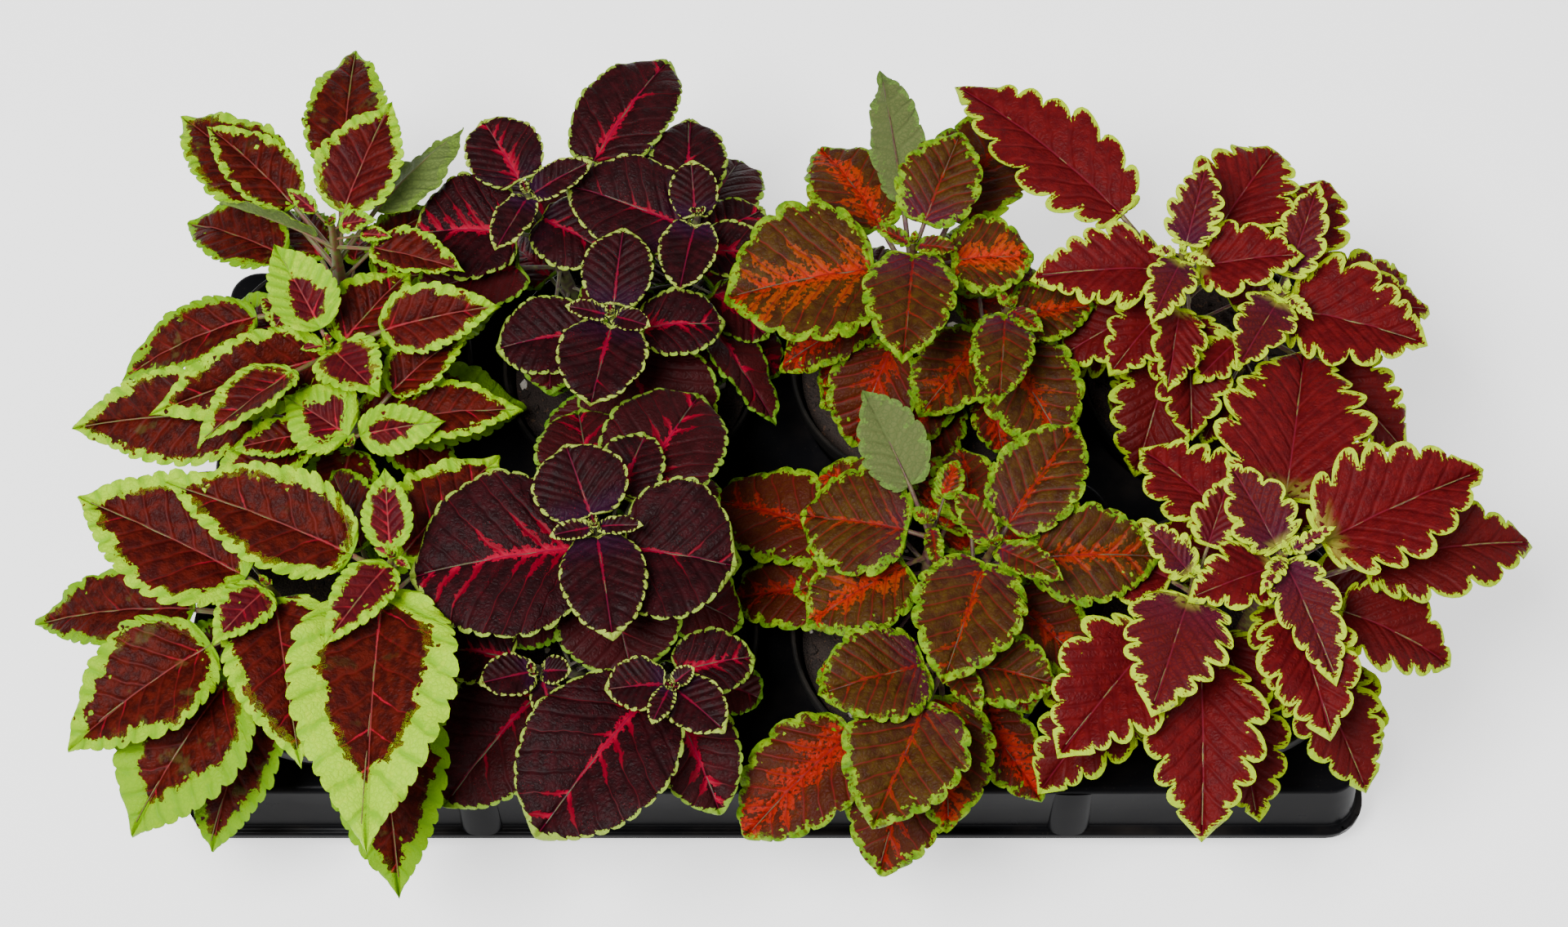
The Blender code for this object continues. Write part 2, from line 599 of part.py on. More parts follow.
def bends():
    """Small lifts, turns and shrinks of a leaf, the least change first."""
    options = []
    for lift in LIFTS:
        for turn in TURNS:
            for scale in SIZES:
                effort = (abs(lift) * LIFT_EFFORT + abs(turn) * TURN_EFFORT
                          + (1 - scale) * SIZE_EFFORT)
                options.append((effort, lift, turn, scale))
    return [option[1:] for option in sorted(options, key=lambda o: o[0])]


def settle_leaves(fixed, stems):
    """Bend each leaf clear of all that is in place already, the top leaves first."""
    leaves = [Leaf(shoot, entry) for shoot in SHOOTS for entry in shoot[5]]
    leaves.sort(key=lambda leaf: leaf.drop)
    placed = []
    kept = []
    for leaf in leaves:
        others = [tree for shoot, tree in stems if shoot is not leaf.shoot]
        for leaf.lift, leaf.turn, leaf.scale in bends():
            whole = tree_of(leaf.solid(CLEARANCE))
            if any(touches(whole, tree) for tree in fixed + others):
                continue
            blade = tree_of(leaf.solid(CLEARANCE, stalk=False))
            if any(touches(blade if shoot is leaf.shoot else whole, theirs)
                   or (shoot is leaf.shoot and touches(whole, their_blade))
                   for shoot, theirs, their_blade in placed):
                continue
            placed.append((leaf.shoot, tree_of(leaf.solid()), tree_of(leaf.solid(stalk=False))))
            kept.append(leaf)
            break
        else:
            print("no room for", leaf.shoot[:2], leaf.heading, leaf.drop)
    return kept


def build_shoot(name, shoot, leaves):
    """Stem and leaves joined into one solid."""
    cut = VARIETIES[shoot[0]]
    stem = add_object(name, stem_solid(shoot), cut["colour"], LEAF_ROUGHNESS)
    parts = bpy.data.collections.new(name + "_leaves")
    for i, leaf in enumerate(leaves):
        blade = add_object(f"{name}_leaf_{i}", leaf.solid(), cut["colour"], LEAF_ROUGHNESS)
        bpy.context.collection.objects.unlink(blade)
        parts.objects.link(blade)
    union = stem.modifiers.new("Join leaves", "BOOLEAN")
    union.operation = "UNION"
    union.operand_type = "COLLECTION"
    union.collection = parts
    union.solver = "EXACT"
    bpy.context.view_layer.update()
    evaluated = stem.evaluated_get(bpy.context.evaluated_depsgraph_get())
    mesh = bpy.data.meshes.new_from_object(evaluated)
    stem.modifiers.clear()
    stem.data = mesh
    for blade in list(parts.objects):
        bpy.data.objects.remove(blade, do_unlink=True)
    bpy.data.collections.remove(parts)


def build():
    clear_scene()
    tray = build_tray()
    pots = [build_pot(column, row) for column in COLUMNS for row in ROWS]
    soils = [build_soil(column, row) for column in COLUMNS for row in ROWS]
    bpy.context.view_layer.update()
    graph = bpy.context.evaluated_depsgraph_get()
    fixed = []
    for thing in [tray, *pots, *soils]:
        bm = bmesh.new()
        bm.from_object(thing, graph)
        fixed.append(tree_of(bm))
    stems = [(shoot, tree_of(stem_solid(shoot))) for shoot in SHOOTS]
    leaves = settle_leaves(fixed, stems)
    counts = {}
    for shoot in SHOOTS:
        key = f"{shoot[0]}_{shoot[1]}"
        counts[key] = counts.get(key, 0) + 1
        build_shoot(f"stem_{key}_{counts[key]}", shoot, [leaf for leaf in leaves if leaf.shoot is shoot])


build()
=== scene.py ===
"""Eight young coleus plants in round pots, standing in a formed carry tray: how they look.

Metres, +Z up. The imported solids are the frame, and every piece here stands where its solid does.
"""
import math
from contextlib import contextmanager

import bmesh
import bpy
import numpy as np
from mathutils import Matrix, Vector
from mathutils.bvhtree import BVHTree


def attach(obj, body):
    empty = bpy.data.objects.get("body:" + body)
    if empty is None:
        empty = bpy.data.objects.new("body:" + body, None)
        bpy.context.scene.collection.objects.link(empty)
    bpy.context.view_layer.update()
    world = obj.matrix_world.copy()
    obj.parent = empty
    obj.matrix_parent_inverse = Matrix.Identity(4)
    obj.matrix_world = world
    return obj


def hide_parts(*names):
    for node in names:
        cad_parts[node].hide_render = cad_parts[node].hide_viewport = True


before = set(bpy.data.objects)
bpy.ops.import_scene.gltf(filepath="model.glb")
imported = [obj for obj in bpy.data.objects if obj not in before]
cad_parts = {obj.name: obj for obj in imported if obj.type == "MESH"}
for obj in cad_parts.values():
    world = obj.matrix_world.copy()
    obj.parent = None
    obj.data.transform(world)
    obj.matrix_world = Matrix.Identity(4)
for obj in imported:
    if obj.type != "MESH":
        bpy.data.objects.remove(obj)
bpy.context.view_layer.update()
MM = 0.001


# Carry tray
# One sheet of black plastic, vacuum formed over a mould: a deck with eight pot pockets and three
# hollow posts, a sloping skirt with half-round ribs, and a flange with a turned-down lip. It is
# modelled the same way, as the mould's surface first and the sheet's thickness under it last.
TRAY_LENGTH = 0.540
TRAY_WIDTH = 0.280
TRAY_HEIGHT = 0.062
TRAY_SHEET = 0.0014
TRAY_CORNER = 0.018
LIP_HEIGHT = 0.019
FLANGE_HEIGHT = 0.024
FLANGE_WIDTH = 0.004
SKIRT_SLOPE = 0.0035
MOULD_FOOT = -0.030
DECK_ROUNDING = 0.003
SKIRT_FOOT_ROUNDING = 0.002
LIP_ROUNDING = 0.0014
MOUTH_ROUNDING = 0.0016
POT_PITCH = 0.134
POCKET_FOOT = 0.0426
POCKET_MOUTH = 0.0540
POCKET_HOLE = 0.024
POST_FOOT = 0.014
POST_MOUTH = 0.021
RIB_RADIUS = 0.0095
RIB_PROUD = 0.0045
RIB_TOP = TRAY_HEIGHT - 0.003
RIB_TOP_SHARE = (0.9, 0.2, 1)
CUTTER_TOP = TRAY_HEIGHT + 0.010
DRAIN_TOP = 0.004
WELD = 0.00005
COLUMNS = ("lime", "dark", "olive", "crimson")
ROWS = ("front", "back")
PLACES = [(column, row) for column in COLUMNS for row in ROWS]
POSTS = (-1, 0, 1)


def pot_centre(column, row):
    return (COLUMNS.index(column) - 1.5) * POT_PITCH, (ROWS.index(row) - 0.5) * POT_PITCH


def choose(*pieces):
    """Select these objects alone, the first of them active."""
    bpy.ops.object.select_all(action="DESELECT")
    for piece in pieces:
        piece.select_set(True)
    if pieces:
        bpy.context.view_layer.objects.active = pieces[0]


def name_new(name):
    """The object that was just added, under its own name."""
    piece = bpy.context.object
    piece.name = piece.data.name = name
    return piece


@contextmanager
def editing(piece):
    """Edit mode on a piece, for as long as the block lasts."""
    bpy.context.view_layer.objects.active = piece
    bpy.ops.object.mode_set(mode="EDIT")
    yield
    bpy.ops.object.mode_set(mode="OBJECT")


def pick_all():
    bpy.ops.mesh.select_all(action="SELECT")


def pick(piece, kind, test):
    """In edit mode, select the edges or faces whose middle and self pass a test."""
    bpy.ops.mesh.select_mode(type=kind)
    bpy.ops.mesh.select_all(action="DESELECT")
    bm = bmesh.from_edit_mesh(piece.data)
    for item in bm.edges if kind == "EDGE" else bm.faces:
        middle = sum((v.co for v in item.verts), Vector()) / len(item.verts)
        if test(middle, item):
            item.select_set(True)
    bmesh.update_edit_mesh(piece.data)


def level(edge, height):
    """Whether an edge lies level at a height."""
    return all(abs(v.co.z - height) < MM / 10 for v in edge.verts)


def extrude_up(height):
    bpy.ops.mesh.extrude_region_move(TRANSFORM_OT_translate={"value": (0, 0, height)})


def scale(x, y, z, centre):
    bpy.ops.transform.resize(value=(x, y, z), center_override=centre)


def join(pieces):
    choose(*pieces)
    bpy.ops.object.join()
    return pieces[0]


def combine(piece, tool, operation):
    """Add another closed shape to a piece, or take it away. The other shape is used up."""
    step = piece.modifiers.new(operation, "BOOLEAN")
    step.operation, step.solver, step.object = operation, "EXACT", tool
    choose()
    bpy.context.view_layer.objects.active = piece
    bpy.ops.object.modifier_apply(modifier=step.name)
    bpy.data.objects.remove(tool)


def smooth(piece, degrees):
    """Shade a piece smooth, apart from edges sharper than an angle."""
    choose(piece)
    bpy.ops.object.shade_smooth_by_angle(angle=math.radians(degrees))


def add_cone(x, y, low, high, low_radius, high_radius, sides=64):
    """A closed cone or cylinder between two heights."""
    bpy.ops.mesh.primitive_cone_add(vertices=sides, radius1=low_radius, radius2=high_radius,
                                    depth=high - low, location=(x, y, (low + high) / 2))
    bpy.ops.object.transform_apply(location=True, rotation=False, scale=False)
    return bpy.context.object


def add_well(x, y, foot, mouth, sides):
    """The shape of a tapered well: its radius at the deck's foot and at its top are given."""
    spread = (mouth - foot) / (TRAY_HEIGHT - TRAY_SHEET)
    return add_cone(x, y, TRAY_SHEET, CUTTER_TOP, foot, foot + spread * (CUTTER_TOP - TRAY_SHEET), sides)


choose()
bpy.ops.mesh.primitive_plane_add(size=1, location=(0, 0, 0))
tray = name_new("carry_tray")
skirt_x, skirt_y = TRAY_LENGTH / 2 - FLANGE_WIDTH, TRAY_WIDTH / 2 - FLANGE_WIDTH
with editing(tray):
    scale(TRAY_LENGTH, TRAY_WIDTH, 1, (0, 0, 0))
    bpy.ops.transform.translate(value=(0, 0, MOULD_FOOT))
    bpy.ops.mesh.bevel(offset=TRAY_CORNER, segments=8, affect="VERTICES")
    pick_all()
    extrude_up(LIP_HEIGHT - MOULD_FOOT)
    extrude_up(FLANGE_HEIGHT - LIP_HEIGHT)
    bpy.ops.mesh.inset(thickness=FLANGE_WIDTH)
    extrude_up(TRAY_HEIGHT - FLANGE_HEIGHT)
    scale((skirt_x - SKIRT_SLOPE) / skirt_x, (skirt_y - SKIRT_SLOPE) / skirt_y, 1, (0, 0, TRAY_HEIGHT))
    pick(tray, "EDGE", lambda middle, edge: level(edge, TRAY_HEIGHT))
    bpy.ops.mesh.bevel(offset=DECK_ROUNDING, segments=4)
    pick(tray, "EDGE", lambda middle, edge: level(edge, FLANGE_HEIGHT)
         and max(abs(middle.x) - skirt_x, abs(middle.y) - skirt_y) < MM)
    bpy.ops.mesh.bevel(offset=SKIRT_FOOT_ROUNDING, segments=3)
    pick(tray, "EDGE", lambda middle, edge: level(edge, FLANGE_HEIGHT)
         and max(abs(middle.x) - skirt_x, abs(middle.y) - skirt_y) > 3 * MM)
    bpy.ops.mesh.bevel(offset=LIP_ROUNDING, segments=3)

ribs = []
for side in (-1, 1):
    for post in POSTS:
        rib = add_cone(0, 0, FLANGE_HEIGHT, RIB_TOP, RIB_RADIUS, RIB_RADIUS, 24)
        with editing(rib):
            scale(1, RIB_PROUD / RIB_RADIUS, 1, (0, 0, 0))
            pick(rib, "FACE", lambda middle, face: face.normal.z > 0.9)
            scale(*RIB_TOP_SHARE, (0, 0, 0))
            bpy.ops.transform.translate(value=(0, -side * SKIRT_SLOPE, 0))
            pick_all()
            bpy.ops.transform.translate(value=(post * POT_PITCH, side * skirt_y, 0))
        ribs.append(rib)
combine(tray, join(ribs), "UNION")

cutters = [add_well(*pot_centre(*place), POCKET_FOOT, POCKET_MOUTH, 64) for place in PLACES]
cutters += [add_well(post * POT_PITCH, 0, POST_FOOT, POST_MOUTH, 40) for post in POSTS]
combine(tray, join(cutters), "DIFFERENCE")
drains = [add_cone(*pot_centre(*place), MOULD_FOOT - MM, DRAIN_TOP, POCKET_HOLE, POCKET_HOLE, 40)
          for place in PLACES]
combine(tray, join(drains), "DIFFERENCE")

wells = [(*pot_centre(*place), POCKET_MOUTH) for place in PLACES]
wells += [(post * POT_PITCH, 0, POST_MOUTH) for post in POSTS]
with editing(tray):
    pick(tray, "FACE", lambda middle, face: middle.z < TRAY_SHEET / 2)
    bpy.ops.mesh.delete(type="FACE")
    pick(tray, "EDGE", lambda middle, edge: level(edge, TRAY_HEIGHT)
         and any(all(abs(math.hypot(v.co.x - x, v.co.y - y) - radius) < MM for v in edge.verts)
                 for x, y, radius in wells))
    bpy.ops.mesh.bevel(offset=MOUTH_ROUNDING, segments=3)
    pick_all()
    bpy.ops.mesh.remove_doubles(threshold=WELD)
    bpy.ops.mesh.dissolve_degenerate(threshold=WELD)
sheet = tray.modifiers.new("Sheet", "SOLIDIFY")
sheet.thickness, sheet.offset = TRAY_SHEET, -1.0
bpy.ops.object.modifier_apply(modifier="Sheet")
smooth(tray, 32)


def tone(red, green, blue):
    """Linear colour of a shade given as it looks on a screen, 0 to 255."""
    shares = [value / 255 for value in (red, green, blue)]
    return (*[s / 12.92 if s <= 0.04045 else ((s + 0.055) / 1.055) ** 2.4 for s in shares], 1.0)


def fill(socket, value):
    """Link a Value to an input, or set the input to anything else."""
    if isinstance(value, Value):
        socket.id_data.links.new(value.socket, socket)
    else:
        socket.default_value = value


def add_node(tree, kind, values=None, **settings):
    node = tree.nodes.new("ShaderNode" + kind)
    for name, setting in settings.items():
        setattr(node, name, setting)
    for key, value in (values or {}).items():
        fill(node.inputs[key], value)
    return node


class Value:
    """A number, colour or place that changes over a surface, as one shader socket gives it.
    Arithmetic on it, and each of its functions, adds a node to the same tree."""

    def __init__(self, socket):
        self.socket = socket

    def through(self, kind, values, output=0, **settings):
        """What a new node gives, with these values at its inputs."""
        return Value(add_node(self.socket.id_data, kind, values, **settings).outputs[output])

    def math(self, operation, *others):
        return self.through("Math", dict(enumerate((self, *others))), operation=operation)

    def __add__(self, other):
        return self.math("ADD", other)

    def __sub__(self, other):
        return self.math("SUBTRACT", other)

    def __rsub__(self, other):
        return self.through("Math", {0: other, 1: self}, operation="SUBTRACT")

    def __mul__(self, other):
        return self.math("MULTIPLY", other)

    def __truediv__(self, other):
        return self.math("DIVIDE", other)

    def __rtruediv__(self, other):
        return self.through("Math", {0: other, 1: self}, operation="DIVIDE")

    __radd__, __rmul__ = __add__, __mul__

    def mix(self, one, other):
        """From one colour to another. A shade is given as it looks on a screen, 0 to 255."""
        one, other = (shade if isinstance(shade, Value) else tone(*shade) for shade in (one, other))
        return self.through("Mix", {0: self, 6: one, 7: other}, 2, data_type="RGBA")

    def between(self, one, other):
        """From one number to another."""
        return self.through("Mix", {0: self, 2: one, 3: other}, data_type="FLOAT")

    def rise(self, low, high):
        """0 below low, 1 above high, smooth between. It falls where low is the greater."""
        return self.through("MapRange", {0: self, 1: low, 2: high}, interpolation_type="SMOOTHSTEP")

    def noise(self, scale, detail=2.0):
        return self.through("TexNoise", {"Vector": self, "Scale": scale, "Detail": detail})

    def cells(self, scale, output="Distance", feature="F1"):
        return self.through("TexVoronoi", {"Vector": self, "Scale": scale}, output, feature=feature)

    def lot(self):
        """A number from 0 to 1, drawn afresh for each place."""
        return self.through("TexWhiteNoise", {"Vector": self}, noise_dimensions="3D")

    def parts(self, kind="XYZ"):
        """The three numbers in a place or, with kind Color, in a colour."""
        return [Value(part) for part in add_node(self.socket.id_data, "Separate" + kind, {0: self}).outputs]


def read(tree, kind, output, **settings):
    """What a node with no inputs reads from the surface."""
    return Value(add_node(tree, kind, **settings).outputs[output])


def place_at(x, y, z):
    """The place with these three numbers, of which the first is a Value."""
    return x.through("CombineXYZ", {0: x, 1: y, 2: z})


SOCKET_KINDS = {"Place": "Vector", "Flat": "Vector", "Plastic": "Color", "Colour": "Color"}


def start_group(name, takes, gives):
    """A new node group: its tree, what comes in and where results go. A socket is a number
    where SOCKET_KINDS doesn't name it."""
    tree = bpy.data.node_groups.new(name, "ShaderNodeTree")
    for way, labels in (("INPUT", takes), ("OUTPUT", gives)):
        for label in labels:
            kind = "NodeSocket" + SOCKET_KINDS.get(label, "Float")
            tree.interface.new_socket(label, in_out=way, socket_type=kind)
    given = {socket.name: Value(socket) for socket in tree.nodes.new("NodeGroupInput").outputs}
    return tree, given, tree.nodes.new("NodeGroupOutput").inputs


def use_group(tree, name, values):
    """What a placed group gives, by name. It takes the values that it has inputs for."""
    node = add_node(tree, "Group", node_tree=bpy.data.node_groups[name])
    for socket in node.inputs:
        if socket.name in values:
            fill(socket, values[socket.name])
    return {socket.name: Value(socket) for socket in node.outputs}


def start_material(name):
    """A new material and its tree."""
    material = bpy.data.materials.new(name)
    material.use_nodes = True
    return material, material.node_tree


def surface(tree, colour, roughness, height, relief, depth, gloss=0.5):
    """Feed the shader of a tree its colour, its roughness and its relief, depth metres deep."""
    shader = tree.nodes["Principled BSDF"].inputs
    fill(shader["Base Color"], colour)
    fill(shader["Roughness"], roughness)
    fill(shader["Normal"], height.through("Bump", {"Strength": relief, "Distance": depth, "Height": height}))
    shader["Specular IOR Level"].default_value = gloss


# Fine potting dust and dried water marks, which lie on what faces up.
tree, given, result = start_group(
    "Dust and water marks", ("Place", "Plastic", "Amount", "Gloss"), ("Colour", "Roughness"))
facing = read(tree, "NewGeometry", "Normal").parts()[2]
cloudy = given["Place"].noise(38, 5.0).rise(0.42, 0.72)
specks = given["Place"].cells(420).rise(0.20, 0.08)
lying = facing.rise(0.0, 0.9) * cloudy.math("MAXIMUM", specks) * given["Amount"]
fill(result["Colour"], lying.mix(given["Plastic"], (112, 98, 84)))
fill(result["Roughness"], given["Gloss"] + given["Place"].noise(90, 4.0) * 0.16 + lying * 0.5)


def dusty_plastic(name, plastic, dust, gloss):
    """A plastic with dust on it: the material, the place on it, its colour and its roughness."""
    material, tree = start_material(name)
    place = read(tree, "TexCoord", "Object")
    values = {"Place": place, "Plastic": plastic, "Amount": dust, "Gloss": gloss}
    return material, place, *use_group(tree, "Dust and water marks", values).values()


material, place, colour, rough = dusty_plastic(
    "Formed black plastic", plastic=(0.0045, 0.0045, 0.0052, 1), dust=0.05, gloss=0.22)
orange_peel = place.noise(260, 3.0) * 0.05
surface(material.node_tree, colour, rough, orange_peel + place.noise(22, 2.0), 0.5, 0.0008, gloss=0.03)
tray.data.materials.clear()
tray.data.materials.append(material)
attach(tray, "root")
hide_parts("tray")


# Round nursery pots
# Thin black injection-moulded plastic, a little browner and duller than the tray: a tapered body
# with a stacking step under a turned-out rim, and a drain hole. One is turned up ring by ring
# from its foot, over the rim and down inside, and copied into all eight pockets.
POT_FOOT_HEIGHT = 0.0017
POT_DRAIN = 0.008
POT_FLOOR_AREA = 0.004
POT_PROFILE = (
    (0.0, 0.0408), (0.0006, 0.0418), (0.0016, 0.0423), (0.0560, 0.0525), (0.0568, 0.0533),
    (0.0690, 0.05505), (0.0786, 0.0567), (0.0797, 0.0573), (0.0801, 0.0588), (0.0806, 0.0595),
    (0.0884, 0.0600), (0.0893, 0.0598), (0.0899, 0.0594), (0.0900, 0.0587), (0.0897, 0.0580),
    (0.0885, 0.0576), (0.0800, 0.0560), (0.0690, 0.0538), (0.0568, 0.0518), (0.0560, 0.0510),
    (0.0022, 0.0408), (0.0014, 0.0400))

choose()
bpy.ops.mesh.primitive_circle_add(vertices=64, radius=POT_PROFILE[0][1], fill_type="NGON")
pot = name_new("pot_turned")
with editing(pot):
    pick_all()
    for (low, narrow), (high, wide) in zip(POT_PROFILE, POT_PROFILE[1:]):
        extrude_up(high - low)
        scale(wide / narrow, wide / narrow, 1, (0, 0, high))
    pick(pot, "FACE", lambda middle, face: math.hypot(middle.x, middle.y) < MM
         and face.calc_area() > POT_FLOOR_AREA)
    bpy.ops.mesh.inset(thickness=POT_PROFILE[-1][1] - POT_DRAIN, use_individual=True)
    bpy.ops.mesh.delete(type="FACE")
    pick(pot, "EDGE", lambda middle, edge: edge.is_boundary)
    bpy.ops.mesh.bridge_edge_loops()
    pick_all()
    bpy.ops.mesh.normals_make_consistent(inside=False)
smooth(pot, 40)

material, place, colour, rough = dusty_plastic(
    "Moulded pot plastic", plastic=(0.007, 0.0065, 0.006, 1), dust=0.10, gloss=0.42)
surface(material.node_tree, colour, rough, place.noise(900, 3.0), 0.4, 0.0003, gloss=0.08)
pot.data.materials.append(material)
for column, row in PLACES:
    choose(pot)
    bpy.ops.object.duplicate(linked=False)
    copy = name_new(f"nursery_pot_{column}_{row}")
    copy.location = (*pot_centre(column, row), POT_FOOT_HEIGHT)
    bpy.ops.object.transform_apply(location=True)
    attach(copy, "root")
    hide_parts(f"pot_{column}_{row}")
bpy.data.objects.remove(pot)


# Potting soil
# Dark peat with bits of bark and a few white grains of perlite, filled to a centimetre below the
# rim. Each plug is a disc in rings with its top pushed into hills, and crumbs lie on it.
SOIL_TOP = 0.080
SOIL_FOOT = 0.0036
SOIL_TOP_RADIUS = 0.0545
SOIL_FOOT_RADIUS = 0.0394
SOIL_RINGS = 17
HILL_HEIGHT = 0.009
HILL_WIDTH = 0.011
FLAT_RIM = 2 * MM
CRUMB_KINDS = 5
CRUMBS = 210
CRUMB_RIM = 3 * MM
PERLITE_SHARE = 0.07
ABOVE_ALL = 0.2
bumps = bpy.data.textures.new("soil_hills", "CLOUDS")
bumps.noise_scale = HILL_WIDTH
bumps.noise_depth = 3

earth, tree = start_material("Damp potting peat")
place = read(tree, "TexCoord", "Object")
shade = place.noise(160, 6.0).mix((18, 12, 9), (50, 35, 26))
bark = place.noise(420, 3.0).rise(0.62, 0.70) * 0.7
surface(tree, bark.mix(shade, (84, 58, 40)), 0.92, place.cells(900) + place.noise(500, 5.0), 0.9, 0.0010)

white_grain, tree = start_material("Perlite grain")
place = read(tree, "TexCoord", "Object")
chalk = place.noise(700, 4.0).mix((150, 140, 122), (228, 224, 214))
surface(tree, chalk, 0.8, place.noise(1500, 3.0), 0.7, 0.0004)

crumb_shapes = []
for kind in range(CRUMB_KINDS):
    choose()
    bpy.ops.mesh.primitive_ico_sphere_add(subdivisions=1, radius=1)
    crumb = bpy.context.object
    with editing(crumb):
        pick_all()
        bpy.ops.transform.vertex_random(offset=0.35, uniform=0.6, seed=kind)
    corners = np.array([v.co for v in crumb.data.vertices])
    crumb_shapes.append((corners, [tuple(face.vertices) for face in crumb.data.polygons]))
    bpy.data.objects.remove(crumb)


def mesh_tree(*meshes):
    """The faces of meshes, to find what is near a point or under it."""
    bm = bmesh.new()
    for mesh in meshes:
        bm.from_mesh(mesh)
    found = BVHTree.FromBMesh(bm)
    bm.free()
    return found


def scatter_crumbs(soil, x, y, rng):
    """Lay crumbs of peat and perlite on a plug's hills, each on the point under it."""
    hills = mesh_tree(soil.data)
    bm = bmesh.new()
    bm.from_mesh(soil.data)
    for crumb in range(CRUMBS):
        away = (SOIL_TOP_RADIUS - CRUMB_RIM) * math.sqrt(rng.random())
        round_ = rng.random() * 2 * math.pi
        over = Vector((x + away * math.cos(round_), y + away * math.sin(round_), ABOVE_ALL))
        spot = hills.ray_cast(over, Vector((0, 0, -1)))[0]
        size = MM * (0.7 + 1.7 * rng.random() ** 2)
        corners, faces = crumb_shapes[crumb % CRUMB_KINDS]
        order = rng.permutation(3)
        stretch = size * (1 + 0.5 * rng.random(3))
        verts = [bm.verts.new(spot + Vector(corner)) for corner in corners[:, order] * stretch]
        white = rng.random() < PERLITE_SHARE
        mirrored = list(order) in ([0, 2, 1], [1, 0, 2], [2, 1, 0])
        for face in faces:
            bm.faces.new([verts[i] for i in face[::-1 if mirrored else 1]]).material_index = int(white)
    bm.to_mesh(soil.data)
    bm.free()


for number, (column, row) in enumerate(PLACES):
    x, y = pot_centre(column, row)
    choose()
    bpy.ops.mesh.primitive_circle_add(vertices=64, radius=SOIL_FOOT_RADIUS, fill_type="NGON")
    soil = name_new(f"potting_soil_{column}_{row}")
    with editing(soil):
        pick_all()
        bpy.ops.transform.translate(value=(x, y, SOIL_FOOT))
        extrude_up(SOIL_TOP - SOIL_FOOT)
        grow = SOIL_TOP_RADIUS / SOIL_FOOT_RADIUS
        scale(grow, grow, 1, (x, y, SOIL_TOP))
        for _ in range(SOIL_RINGS):
            bpy.ops.mesh.inset(thickness=SOIL_TOP_RADIUS / (SOIL_RINGS + 1))
        pick_all()
        bpy.ops.mesh.normals_make_consistent(inside=False)
    top = soil.vertex_groups.new(name="top")
    top.add([v.index for v in soil.data.vertices if v.co.z > SOIL_TOP - MM
             and math.hypot(v.co.x - x, v.co.y - y) < SOIL_TOP_RADIUS - FLAT_RIM], 1.0, "REPLACE")
    hills = soil.modifiers.new("Hills", "DISPLACE")
    hills.texture, hills.texture_coords = bumps, "GLOBAL"
    hills.strength, hills.mid_level, hills.direction = HILL_HEIGHT, 0.55, "Z"
    hills.vertex_group = "top"
    bpy.ops.object.modifier_apply(modifier="Hills")
    soil.vertex_groups.clear()
    scatter_crumbs(soil, x, y, np.random.default_rng(number))
    soil.data.materials.append(earth)
    soil.data.materials.append(white_grain)
    smooth(soil, 40)
    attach(soil, "root")
    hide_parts(f"soil_{column}_{row}")


# Leafy shoots
# Square green stems with leaves in opposite pairs, each pair at right angles to the last. Every
# shoot is one piece, placed by the solids' own planting plan, and is grown in mesh code, since
# no primitive has a leaf's curved, toothed and veined form.

